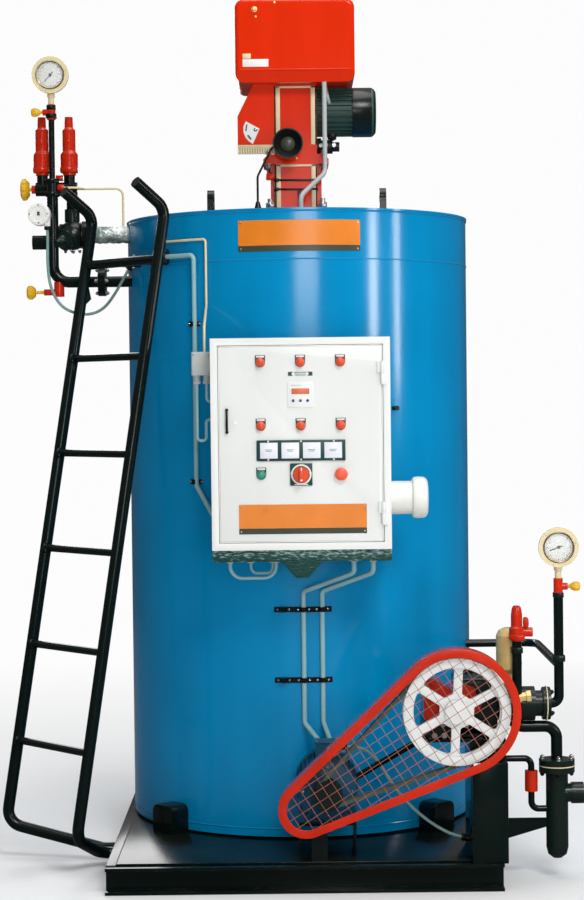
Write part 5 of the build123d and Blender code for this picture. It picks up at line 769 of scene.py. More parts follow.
class BOILER_OT_burner(bpy.types.Operator):
    """Put the trim, plates, screws, straps, grille and motor cowl on the burner"""

    bl_idname = "boiler.burner"
    bl_label = "Burner"

    def execute(self, context):
        self.column(span("burner_body")[0].y)
        self.fasteners()
        self.grille()
        self.hood(span("burner_hood")[0].y)
        self.damper_plate(span("burner_air_box")[0].y)
        self.motor()
        self.horn(span("alarm_horn")[0].y)
        return {"FINISHED"}

    def column(self, face):
        """Cream trim, black seals, straps and wires on the front of the column, and the neck's catch."""
        trim, seals = [], []
        for low, high in COLUMN_SPANS:
            for side in (-1, 1):
                inner, outer = sorted((side * 47, side * 60))
                trim.append(block("trim", (inner, face - 3, low), (outer, face, high), 0.8))
                inner, outer = sorted((side * 60.5, side * 64.5))
                seals.append(block("seal", (inner, face - 1.5, low), (outer, face + 1, high), 0.4))
            trim.append(block("trim", (-60, face - 3, high - 6), (60, face, high), 0.8))
        settle(join("column_trim", trim), "cream_plastic")
        settle(join("column_seal", seals), "black_plastic")
        strap = [
            block("strap", (-68, face - 5, -3), (68, face - 1.5, 3), 0.8),
            block("lock", (-66, face - 9, -5), (-52, face - 1, 5), 1.2),
        ]
        settle(row_of("column_straps", join("strap", strap), [UP * 2024, UP * 1996]), "black_plastic")
        wire = tube("wire", [(0, face - 4, 1998), (1, face - 6, 1965), (3, face - 4, 1921)], 1.6)
        settle(row_of("ignition_wires", wire, [RIGHT * 6, RIGHT * 12]), "black_plastic")
        settle(block("neck_catch", (-92, face + 2, 2026), (-64, face + 26, 2046), 3), "burner_red")

    def fasteners(self):
        """Bolts and nuts through the two flanges, and studs with nuts at the foot of the neck."""
        corners = [Vector((x, y, 0)) for x in (-84, 84) for y in (-132, 32)]
        bolts("flange_bolts", [corner + UP * 2103 for corner in corners], UP, radius=8)
        bolts("flange_nuts", [corner + UP * 2073 for corner in corners], -UP, radius=8)
        stud = [bar("stud", UP * 1917, UP * 1966, 8, 16), bar("nut", UP * 1938, UP * 1954, 15, 6, 1.2)]
        steps = [(x, y, 0) for x in (-80, 80) for y in (-144, 44)]
        settle(row_of("base_studs", join("stud", stud), steps), "steel")

    def grille(self):
        """Comb of ribs under the air box, cut back behind its front edge, with a darker cream sheet between
        the ribs as painted shade in the gaps.
        """
        low, high = span("air_intake_grille")
        count = 15
        pitch = (high.x - low.x) / (count - 0.4)
        side = [(low.y, high.z), (low.y, low.z), (low.y + 8, low.z), (high.y, high.z - 5), (high.y, high.z)]
        rib = sheet_of("rib", [(low.x, y, z) for y, z in side], RIGHT * pitch * 0.6, 0.6)
        ribs = row_of("ribs", rib, [RIGHT * pitch * i for i in range(count)])
        band = block("band", (low.x, low.y, high.z - 11), (high.x, low.y + 8, high.z), 0.8)
        settle(join("grille_comb", [ribs, band]), "cream_plastic", replaces=["air_intake_grille"])
        # darker cream sheet behind the ribs: painted shade in the gaps
        inner = [(low.y + 3, high.z), (low.y + 3, low.z + 1), (low.y + 8, low.z + 1)]
        inner += [(high.y - 3, high.z - 5), (high.y - 3, high.z)]
        width = high.x - low.x - 4
        gap_shade_sheet = sheet_of("grille_gap_shade", [(low.x + 2, y, z) for y, z in inner], RIGHT * width)
        settle(gap_shade_sheet, "cream_painted_shade")

    def hood(self, front):
        """Knob, screws, folded edge and blank rating plates of the hood."""
        knob = [(0, 0), (0, 8.5), (2, 8.5), (2.5, 6.5), (8, 6), (10, 4.5), (10.5, 0)]
        settle(lathe("hood_knob", knob, (-121, front, 2532), FRONT, 24), "brass")
        screws("hood_screws", [(-117, front, 2510), (-60, front, 2552)], FRONT, 3.6, "brass")
        screws("column_screws", [(3, front + 16, 2331), (3, -150, 2088)], FRONT, 3.4, "brass")
        settle(bar("hood_fold", (-166, front + 1.2, 2350), (166, front + 1.2, 2350), 3, 16), "burner_red")
        screws("hood_back_screws", [(x, 100, z) for x in (-150, 150) for z in (2350, 2530)], -FRONT, 5)
        settle(block("rating_plate", (-158, front - 0.8, 2359), (-80, front, 2382), 0.3), "white_plastic")
        small = block("rating_plate_small", (-158, front - 0.8, 2384), (-133, front, 2399), 0.3)
        settle(small, "cream_plastic")

    def damper_plate(self, front):
        """Blank scale plate of the air damper, with its pivot and two marks."""
        arc = [(-152, 2204), (-110, 2181), (-131, 2134), (-143, 2143), (-153, 2155)]
        arc += [(-159, 2170), (-159, 2188)]
        settle(sheet_of("damper_plate", [(x, front, z) for x, z in arc], FRONT * 1.6), "white_plastic")
        marks = [
            sheet_of("mark", [(x, front - 1.7, z) for x, z in points], FRONT * 0.5, 0.1)
            for points in (
                ((-151, 2193), (-146, 2195), (-150, 2173), (-154, 2174)),
                ((-149, 2160), (-144, 2163), (-134, 2150), (-138, 2146)),
            )
        ]
        settle(join("damper_marks", marks), "plate_dark")
        pivot = [(0, 0), (0, 6), (3, 6), (4.5, 4), (5, 0)]
        settle(lathe("damper_pivot", pivot, (-122, front, 2178), FRONT, 20), "steel")

    def motor(self):
        """Black cowl with vent rings on the motor's end, and the fuel pump's solenoid, unions and lead."""
        low, high = span("burner_motor")
        cowl = [(0, 68), (0, 75.6), (58, 75.6), (68, 70), (72.6, 62), (72.6, 56), (70.5, 54), (70.5, 46)]
        cowl += [(72.6, 44), (72.6, 36), (70.5, 34), (70.5, 26), (72.6, 24), (72.6, 10), (71, 0)]
        start = (high.x - 72, (low.y + high.y) / 2, 2238)
        settle(lathe("motor_cowl", cowl, start, RIGHT, 48), "black_plastic")
        pump_low, pump_high = span("fuel_pump")
        pump_y = (pump_low.y + pump_high.y) / 2
        top = pump_high.z
        coil = [
            block("coil", (98, pump_y - 20, top - 4), (126, pump_y + 20, top + 30), 3),
            bar("core", (112, pump_y, top - 8), (112, pump_y, top + 36), 8),
        ]
        settle(join("fuel_solenoid", coil), "black_plastic")
        union = bar("union", (0, pump_y - 27, top - 26), (0, pump_y - 38, top - 26), 7, 6)
        settle(row_of("fuel_unions", union, [RIGHT * x for x in (78, 92, 118)]), "steel")
        lead = [(93, low.y + 20, 2312), (96, -140, 2285), (106, -100, 2250), (112, pump_y, top + 34)]
        settle(tube("solenoid_lead", lead, 5.5), "grey_plastic")

    def horn(self, lip):
        """Driver dome inside the horn's mouth, and the mouth's rolled rim."""
        dome = [(0, 0), (0, 22), (2, 22), (6, 17), (9, 9), (10, 0)]
        settle(lathe("horn_dome", dome, (-24, lip + 24, 2127), FRONT, 32), "plate_dark")
        rim = [(0, 42), (0, 46.4), (2.5, 46.4), (3.4, 44), (2.5, 42)]
        settle(ring("horn_rim", rim, (-24, lip - 0.2, 2127), -FRONT, 48), "black_plastic")


DOOR_FACE = -740.0
PANEL_MIDDLE = 3
LAMP_COLUMNS = (-108, PANEL_MIDDLE, 114)
LAMP_ROWS = (1457, 1281)
BUTTON_ROW = 1145
CONDUIT_GLANDS = ((-261, 1400), (-288, 1400), *((x, 893) for x in (-200, -142, -80, -70, 150, 204)))


class BOILER_OT_panel(bpy.types.Operator):
    """Fit the lamps, buttons, windows, controller, switch, plate and lock on the panel door, and its sides"""

    bl_idname = "boiler.panel"
    bl_label = "Panel"

    def execute(self, context):
        softened("panel_box", 2.0)
        softened("panel_door", 1.2)
        softened("panel_bracket", finish="mottled_green")
        strips = [(-225.5, -222.5, 956.5, 1503.5), (228.5, 231.5, 956.5, 1503.5)]
        strips += [(-225.5, 231.5, 956.5, 959.5), (-225.5, 231.5, 1500.5, 1503.5)]
        gasket = [
            block("strip", (left, DOOR_FACE + 0.5, foot), (right, DOOR_FACE + 14, head), 0.4)
            for left, right, foot, head in strips
        ]
        settle(join("door_gasket", gasket), "white_plastic", DOOR)
        self.lamps()
        self.buttons()
        self.windows()
        self.controller()
        self.switch()
        self.plate()
        self.lock()
        self.sides()
        return {"FINISHED"}

    def lamps(self):
        """Lamps, and the holder plates and blank labels behind them and the start button."""
        spots = [(x, 0, z) for z in LAMP_ROWS for x in LAMP_COLUMNS]
        profile = [(0, 0), (0, 12.8), (8, 12.8), (9, 11.6), (12, 11.2), (15.5, 9), (17.4, 5), (18, 0)]
        lens = lathe("lens", profile, (0, DOOR_FACE, 0), FRONT, 24)
        settle(row_of("lamp_lenses", lens, spots), "red_plastic", DOOR, replaces=["lamps_and_buttons"])
        spots.append((LAMP_COLUMNS[0], 0, BUTTON_ROW))
        turns = [math.radians(a) for a in range(180, 361, 15)]
        outline = [(14 * math.cos(t), 14 * math.sin(t)) for t in turns] + [(14, 20), (-14, 20)]
        holder = sheet_of("holder", [(x, DOOR_FACE, z) for x, z in outline], FRONT * 2.5, 0.5)
        settle(row_of("lamp_holders", holder, spots), "dark_green", DOOR)
        label = block("label", (-11, DOOR_FACE - 3.2, 13.6), (11, DOOR_FACE - 2, 18.4), 0.3)
        settle(row_of("lamp_labels", label, spots), "white_plastic", DOOR)

    def buttons(self):
        push = [(0, 0), (0, 13), (7, 13), (8.5, 12), (9, 10.5), (7, 10), (7, 9.4)]
        push += [(12, 9), (13, 7.5), (13.4, 0)]
        start = (LAMP_COLUMNS[0], DOOR_FACE, BUTTON_ROW)
        settle(lathe("start_button", push, start, FRONT), "green_plastic", DOOR)
        mushroom = [(0, 0), (0, 10), (7, 10), (8, 13), (10, 18), (14, 17.6), (16.5, 14), (17.6, 8), (18, 0)]
        stop = (LAMP_COLUMNS[2], DOOR_FACE, BUTTON_ROW)
        settle(lathe("stop_button", mushroom, stop, FRONT), "stop_red", DOOR)
        collar = [(0, 11), (0, 15.5), (2.5, 15.5), (4, 14), (4, 11)]
        settle(ring("stop_collar", collar, stop, FRONT), "steel", DOOR)

    def windows(self):
        """Four lit windows with blank legends in one dark frame."""
        face = DOOR_FACE - 6
        window = block("window_frame", (-120.5, face, 1183), (126.5, DOOR_FACE, 1241), 2.0)
        settle(window, "dark_green", DOOR, replaces=["door_instruments"])
        steps = [RIGHT * (PANEL_MIDDLE + (i - 1.5) * 59.5) for i in range(4)]
        pane = block("pane", (-24.5, face - 1.4, 1190), (24.5, face + 1, 1234), 1.0)
        settle(row_of("window_panes", pane, steps), "window_white", DOOR)
        legend = [
            block("legend", (left, face - 1.7, z), (right, face - 1.3, z + 2.2), 0.1)
            for left, right, z in ((-11, 10, 1213), (-8, 7, 1209))
        ]
        settle(row_of("window_legends", join("legend", legend), steps), "cable_grey", DOOR)
        spots = [(x, face, z) for x in (-88, PANEL_MIDDLE, 94) for z in (1186.5, 1237.5)]
        screws("window_screws", spots, FRONT, 2.6, "white_plastic", DOOR)

    def controller(self):
        """Temperature controller with a red display, three keys and a blank legend between two arrows."""
        face = DOOR_FACE - 2
        settle(block("controller_face", (-33, face, 1331), (39, DOOR_FACE, 1403), 1.2), "white_paint", DOOR)
        bezel = block("controller_bezel", (-25, face - 1.2, 1365), (31, face + 1, 1387), 0.8)
        settle(bezel, "white_plastic", DOOR)
        display = block("controller_display", (-22, face - 1.8, 1368), (28, face, 1384), 0.4)
        settle(display, "display_red", DOOR)
        key = lathe("key", [(0, 0), (0, 4), (1.5, 4), (2.4, 2.6), (2.6, 0)], (0, face, 1350), FRONT, 16)
        keys = row_of("controller_keys", key, [RIGHT * x for x in (-17, PANEL_MIDDLE, 23)])
        settle(keys, "blue_plastic", DOOR)
        outline = [(20, 1419), (34, 1419), (34, 1430), (20, 1430), (25, 1424.5)]
        arrows = [
            sheet_of("arrow", [(PANEL_MIDDLE + side * x, DOOR_FACE, z) for x, z in outline], FRONT * 0.8, 0.1)
            for side in (-1, 1)
        ]
        settle(join("legend_arrows", arrows), "dark_green", DOOR)
        rows = [(-14, 20, 1427, 1429.5), (-12, 18, 1420.5, 1422.5), (-24, 6, 1392, 1393.2)]
        lines = [block("line", (a, DOOR_FACE - 2.3, c), (b, DOOR_FACE, d), 0.1) for a, b, c, d in rows]
        settle(join("legend_lines", lines), "cable_grey", DOOR)

    def switch(self):
        """Dark plate with a white ring and marks behind the main switch, and a pointer on the knob."""
        plate = block("switch_plate", (-28, DOOR_FACE - 6, 1114), (34, DOOR_FACE, 1176), 1.2)
        settle(plate, "dark_green", DOOR)
        centre = (PANEL_MIDDLE, DOOR_FACE - 5.6, BUTTON_ROW)
        profile = [(0, 24), (0, 28.5), (1.0, 28.5), (1.4, 27), (1.0, 24)]
        settle(ring("switch_ring", profile, centre, FRONT, 40), "white_plastic", DOOR)
        marks = [
            block("mark", (a, DOOR_FACE - 6.6, c), (b, DOOR_FACE - 5, d), 0.2)
            for a, b, c, d in ((-27, -17, 1148, 1150), (23, 33, 1148, 1150), (-16, 22, 1116, 1118.5))
        ]
        settle(join("switch_marks", marks), "white_plastic", DOOR)
        front = span("switch_knob")[0].y
        softened("switch_knob", 1.5, finish="red_plastic")
        pointer = [
            block("pointer", (1.6, front - 0.2, 1156), (4.4, front + 2, 1164), 0.4),
            block("pointer", (0, front - 0.2, 1128), (6, front + 2, 1132), 0.3),
        ]
        settle(join("switch_pointer", pointer), "white_plastic", "main_switch")

    def plate(self):
        """Bare name plate low on the door, with a dark strip along its foot and a rivet at each corner."""
        left, right = -171, 184
        for name, foot, head, finish in (
            ("door_plate", 996, 1062, "plate_orange"),
            ("door_plate_strip", 980, 995.5, "plate_dark"),
        ):
            outline = [(left, foot), (right, foot), (right, head), (left, head)]
            settle(sheet_of(name, [(x, DOOR_FACE, z) for x, z in outline], FRONT * 1.6), finish, DOOR)
        corners = [(x, DOOR_FACE - 1.6, z) for x in (left + 6, right - 6) for z in (986, 1056)]
        screws("door_plate_rivets", corners, FRONT, 2.6, "steel", DOOR)

    def lock(self):
        """Pull on two bosses in place of the handle, and a round key lock beside it."""
        low, high = span("door_handle")
        x = (low.x + high.x) / 2
        lock = [(0, 0), (0, 5.5), (1.2, 5.5), (2, 4.6), (2, 1.6), (1, 1.4), (1, 0)]
        settle(lathe("door_lock", lock, (x + 22, DOOR_FACE, 1290), FRONT, 24), "white_plastic", DOOR)
        grip = block("grip", (x - 3.2, DOOR_FACE - 11, 1261), (x + 3.2, DOOR_FACE, 1329), 1.6, 3)
        boss = lathe("boss", [(0, 0), (0, 4.6), (6, 4.6), (8, 3.4), (8.4, 0)], (x, DOOR_FACE, 0), FRONT, 20)
        bosses = row_of("bosses", boss, [UP * 1264, UP * 1326])
        settle(join("door_pull", [grip, bosses]), "black_plastic", DOOR, replaces=["door_handle"])

    def sides(self):
        """Sounder with a rounded bell, junction box with lid screws, and the conduits' gland nuts."""
        bell = [(0, 0), (0, 47), (60, 47), (62, 50), (65, 56), (71, 58.5), (78, 59), (95, 58)]
        bell += [(102, 54), (106, 47), (107, 40), (105, 36), (105, 0)]
        low, high = span("panel_sounder")
        start = (low.x, (low.y + high.y) / 2, (low.z + high.z) / 2)
        settle(lathe("sounder_bell", bell, start, RIGHT, 56), "white_plastic", replaces=["panel_sounder"])
        softened("junction_box", 2.5)
        screws("junction_screws", [(x, -671, z) for x in (-296, -253) for z in (1430, 1484)], FRONT, 2.8)
        nut = bar("nut", (0, -640, 0), (0, -640, 9), 11, 6)
        settle(row_of("gland_nuts", nut, [(x, 0, z) for x, z in CONDUIT_GLANDS]), "grey_plastic")


CLIP_BAR_LEVELS = (748, 544)
SADDLE = (
    (-22, 0), (-22, 2.5), (-10, 2.5), (-9, 10), (-5, 14.6), (5, 14.6), (9, 10), (10, 2.5), (22, 2.5), (22, 0),
)
SADDLE_HEIGHT = 14


class BOILER_OT_clips(bpy.types.Operator):
    """Sheathe the conduits and clip them to the shell with black saddles and bars"""

    bl_idname = "boiler.clips"
    bl_label = "Conduit clips"

    def execute(self, context):
        self.sheath()
        places = [(-302, 1577, 0), (-302, 1116, 0)]
        places += [(x, z, 2.4) for z in CLIP_BAR_LEVELS for x in (-52, 6, 60)]
        plugs = [facing(*on_shell(x, z)) for x, z in ((275, 1325), (283, 1046), (318, 1046))]
        strip = arc_sheet("strip", 2.6, -8, 8, -8.6, 9.6, 8)
        clips = [
            self.saddles(places),
            row_of("strips", strip, [UP * z for z in CLIP_BAR_LEVELS]),
            copies("plugs", bar("plug", ORIGIN, UP * 22, 7, 16), plugs),
            arc_sheet("clip_block", 23, 1754, 1801, -47.9, -45.3, 4),
        ]
        settle(join("conduit_clips", clips), "black_plastic")
        heads = [facing(*on_shell(x + shift, z, out + 2)) for x, z, out in places for shift in (-16, 16)]
        heads += [facing(*on_shell(-381, z, 23)) for z in (1761, 1794)]
        settle(copies("clip_screws", pan_screw(3.6), heads), "bright_steel")
        return {"FINISHED"}

    def sheath(self):
        """Conduits in plain grey above the lid, and below it in a blue-grey with the blue shell's reflection
        painted in.
        """
        sheath = settle(copy_of("conduits", whole=False), "conduit_grey_shell_reflection", angle=40, replaces=["conduits"])
        sheath.data.materials.append(FINISHES["grey_plastic"])
        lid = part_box("shell_top_plate")[0].z
        # painted reflection: faces below the lid take the shell's blue-grey, faces above it plain grey
        for face in sheath.data.polygons:
            face.material_index = int(face.center.z > lid)

    def saddles(self, places):
        """Saddles over the conduits, modelled at the shell's front and turned round it to their places."""
        outline = [(x, -SHELL_RADIUS - out, -SADDLE_HEIGHT / 2) for x, out in SADDLE]
        saddle = sheet_of("saddle", outline, UP * SADDLE_HEIGHT, 0.6)
        turned = []
        for x, z, out in places:
            turn = Matrix.Rotation(math.asin(x / SHELL_RADIUS), 4, "Z")
            turned.append(turn @ Matrix.Translation(metres((0, -out, z))))
        return copies("saddles", saddle, turned)


RUNG_BASE = 352
RUNG_PITCH = 283


class BOILER_OT_ladder(bpy.types.Operator):
    """Weld beads where the rungs meet the stiles"""

    bl_idname = "boiler.ladder"
    bl_label = "Ladder"

    def execute(self, context):
        bead = settings()[0].weld / MM
        points = [v.co / MM for v in frame["nodes"]["ladder_rungs"].data.vertices]
        places = []
        for step in sorted({round((p.z - RUNG_BASE) / RUNG_PITCH) for p in points}):
            near = [p for p in points if abs(p.z - RUNG_BASE - RUNG_PITCH * step) < 60]
            near.sort(key=lambda p: p.x)
            level = sum(p.z for p in near) / len(near)
            left, right = (Vector((p.x, p.y, level)) for p in (near[0], near[-1]))
            inset = (right - left).normalized() * 2
            places += [facing(left + inset, inset), facing(right - inset, -inset)]
        profile = [(0, 10), (0, 11 + bead), (0.5 * bead, 11 + 0.8 * bead)]
        profile += [(bead, 11 + 0.2 * bead), (bead, 10)]
        settle(copies("rung_welds", ring("bead", profile, ORIGIN, UP, 20), places), "black_paint")
        return {"FINISHED"}


class BOILER_OT_gauges(bpy.types.Operator):
    """Fit a dial, ticks, needle, glass and bezel to each pressure gauge"""

    bl_idname = "boiler.gauges"
    bl_label = "Gauges"

    def execute(self, context):
        for name, x, y, z, reading in (("steam", -745, -157, 2349, 48), ("feed", 720, -713, 932, 20)):
            self.gauge(name, Vector((x, y, z)), reading)
        return {"FINISHED"}

    def gauge(self, name, centre, reading):
        """Front of one gauge: the case's own recess is 6 mm deep and 44 mm in radius."""
        bezel = [(-6, 40), (-6, 44), (1.5, 44), (3.2, 42), (2.4, 39.5), (-3, 39)]
        settle(ring(name + "_gauge_bezel", bezel, centre, FRONT, 56), "brass_dull")
        dial = [(-6, 0), (-6, 40), (-4.6, 40), (-4.4, 39.4), (-4.4, 0)]
        settle(lathe(name + "_gauge_dial", dial, centre, FRONT, 56), "dial_white")
        face = centre - FRONT * 4.4
        scale = [self.turned(face, 225 - 9 * i) for i in range(31)]
        between = [place for i, place in enumerate(scale) if i % 5]
        hub = [(0, 0), (0, 4.5), (1.8, 4.5), (2.6, 3), (2.8, 0)]
        marks = [
            copies("ticks", self.stroke(30, 36.5, 0.7), scale[::5]),
            copies("ticks", self.stroke(33, 36.5, 0.4), between),
            lathe("hub", hub, face, FRONT, 20),
        ]
        needle = self.stroke(-12, 27, 1.1)
        needle.data.transform(self.turned(face + FRONT * 1.2, reading))
        settle(join(name + "_gauge_marks", [*marks, needle]), "black_plastic")
        glass = [(-0.6, 0), (-0.6, 39), (0.4, 39), (0.4, 0)]
        settle(lathe(name + "_gauge_glass", glass, centre, FRONT, 48), "glass")
        stem = centre - FRONT * 23
        settle(bar(name + "_gauge_nut", stem - UP * 66, stem - UP * 54, 13, 6), "cream_plastic")
        screws(name + "_gauge_screws", polar(centre, FRONT, 50, 3, 30), FRONT, 2.8, "cream_plastic")

    def stroke(self, start, end, half):
        """Thin raised line that runs to the left of the origin."""
        corners = [(-start, 0, half), (-end, 0, half), (-end, 0, -half), (-start, 0, -half)]
        return sheet_of("stroke", corners, FRONT * 0.4, 0.05)

    def turned(self, face, degrees):
        """Place on a dial, turned about the dial's middle."""
        return Matrix.Translation(metres(face)) @ Matrix.Rotation(math.radians(degrees), 4, FRONT)


HEADER_X, HEADER_Y = -745, -134
CROSS_LEVEL = 2008
STEAM_VALVE = Vector((-690, -90, 1866))
SAFETY_VALVES = (-780, -697)
PRESSURE_SWITCH = (-780, 1923)
STANDPIPE_NUTS = ((2226, 19), (2252, 16), (2028, 24), (1988, 24))


class BOILER_OT_steam_side(bpy.types.Operator):
    """Put bolts, gland nuts, the valve's bonnet and lever, and the fluted knobs on the steam side"""

    bl_idname = "boiler.steam_side"
    bl_label = "Steam side"

    def execute(self, context):
        outlet = Vector((-585, HEADER_Y, 1720))
        bolts("outlet_flange_bolts", polar(outlet, RIGHT, 35, 4, 45), RIGHT, radius=6)
        bolts("outlet_flange_nuts", polar(outlet - RIGHT * 22, RIGHT, 35, 4, 45), -RIGHT, radius=6)
        bolts("steam_flange_nuts", polar(STEAM_VALVE + RIGHT * 32, RIGHT, 35, 4, 45), -RIGHT, radius=6)
        nut = bar("sensing_nut", (-729, HEADER_Y, CROSS_LEVEL), (-709, HEADER_Y, CROSS_LEVEL), 11, 6, 1)
        settle(nut, "red_paint")
        bend = [(-712, HEADER_Y), (-690, HEADER_Y), (-668, -128), (-656, -110), (-652, -90)]
        settle(tube("sensing_lead", [(x, y, CROSS_LEVEL) for x, y in bend], 3.5), "cream_plastic")
        self.valve()
        self.safety_valves()
        for node, flutes in (("vent_knob", 9), ("drain_knob", 8), ("steam_cock_knob", 8)):
            fluted_knob(node, flutes)
        nuts = [
            bar("nut", (HEADER_X, HEADER_Y, z - 7), (HEADER_X, HEADER_Y, z + 7), radius, 6, 1.2)
            for z, radius in STANDPIPE_NUTS
        ]
        settle(join("pipe_nuts", nuts), "black_paint")
        self.pressure_switch(span("pressure_switch")[0].y)
        self.wrap()
        return {"FINISHED"}

    def valve(self):
        """Bonnet, gland bolts and band of the main steam valve, and the drain's lever."""
        bonnet = [(40, 0), (40, 34), (46, 34), (48, 30), (54, 20), (66, 16), (72, 12), (84, 11), (86, 0)]
        settle(lathe("steam_valve_bonnet", bonnet, STEAM_VALVE, (-0.5, -0.75, -0.35), 32), "iron")
        band = [(-8, 47), (-8, 52), (8, 52), (8, 47)]
        settle(ring("steam_valve_band", band, STEAM_VALVE, (0.5, 0.3, 1), 40), "iron")
        bolts("steam_valve_bolts", polar(STEAM_VALVE - UP * 46, UP, 22, 4, 45), -UP, "bright_steel", 5)
        wedge = [(-664, 1752), (-648, 1752), (-632, 1668), (-648, 1652), (-660, 1690)]
        settle(sheet_of("drain_lever", [(x, -128, z) for x, z in wedge], -FRONT * 12, 2), "iron")

    def safety_valves(self):
        """Nuts and caps of the two safety valves, and the red block between them."""
        cap = [(0, 0), (0, 13), (16, 13), (20, 10), (24, 10), (26, 7), (26, 0)]
        valve = [lathe("cap", cap, (0, STEAM_VALVE.y, 2196), UP, 24)]
        for z, radius in ((2066, 31), (2150, 22)):
            valve.append(bar("nut", (0, STEAM_VALVE.y, z - 8), (0, STEAM_VALVE.y, z + 8), radius, 6, 1.5))
        pair = row_of("pair", join("valve", valve), [RIGHT * x for x in SAFETY_VALVES])
        link = block("link", (-738, -104, 2034), (-716, -76, 2050), 2)
        settle(join("safety_valve_nuts", [pair, link]), "red_paint")

    def pressure_switch(self, front):
        """Round cover with four screws and a small window."""
        x, z = PRESSURE_SWITCH
        cover = [(0, 0), (0, 33), (2.2, 33), (3.4, 31), (3.4, 24), (2.2, 22.5), (2.2, 0)]
        settle(lathe("pressure_switch_cover", cover, (x, front, z), FRONT, 40), "white_plastic")
        screws("pressure_switch_screws", polar((x, front - 3, z), FRONT, 27.5, 4, 45), FRONT, 2.6)
        window = block("pressure_switch_window", (x - 4, front - 4.2, z - 5), (x + 4, front - 2, z + 7), 0.8)
        settle(window, "plate_dark")

    def wrap(self):
        """Foil wound over the lagged pipe, with uneven lumps."""
        low, high = span("steam_pipe")
        run = high.x - low.x
        radius = (high.z - low.z) / 2
        count = 18
        profile = [(0, 0), (0, radius - 3)]
        for i in range(count):
            swell = 1.2 * math.sin(i * 2.1) + 0.8 * math.sin(i * 5.3)
            profile.append((4 + (run - 8) * i / (count - 1), radius + swell))
        profile += [(run, radius - 3), (run, 0)]
        foil = lathe("foil_wrap", profile, (low.x, STEAM_VALVE.y, STEAM_VALVE.z), RIGHT, 36)
        settle(foil, "foil", angle=180, replaces=["steam_pipe"])


PUMP_Y = -690
WHEEL = Vector((422, 0, 493))
PUMP_HEAD = Vector((0, PUMP_Y, WHEEL.z))
STRAINER = Vector((712, PUMP_Y, 0))
GAUGE_PIPE = Vector((720, PUMP_Y, 0))
RELIEF = Vector((598, -732, 0))
PUMP_MOTOR = (66, -776, 267)
CASE_FRONT = -776
CASTING_FRONT = -786


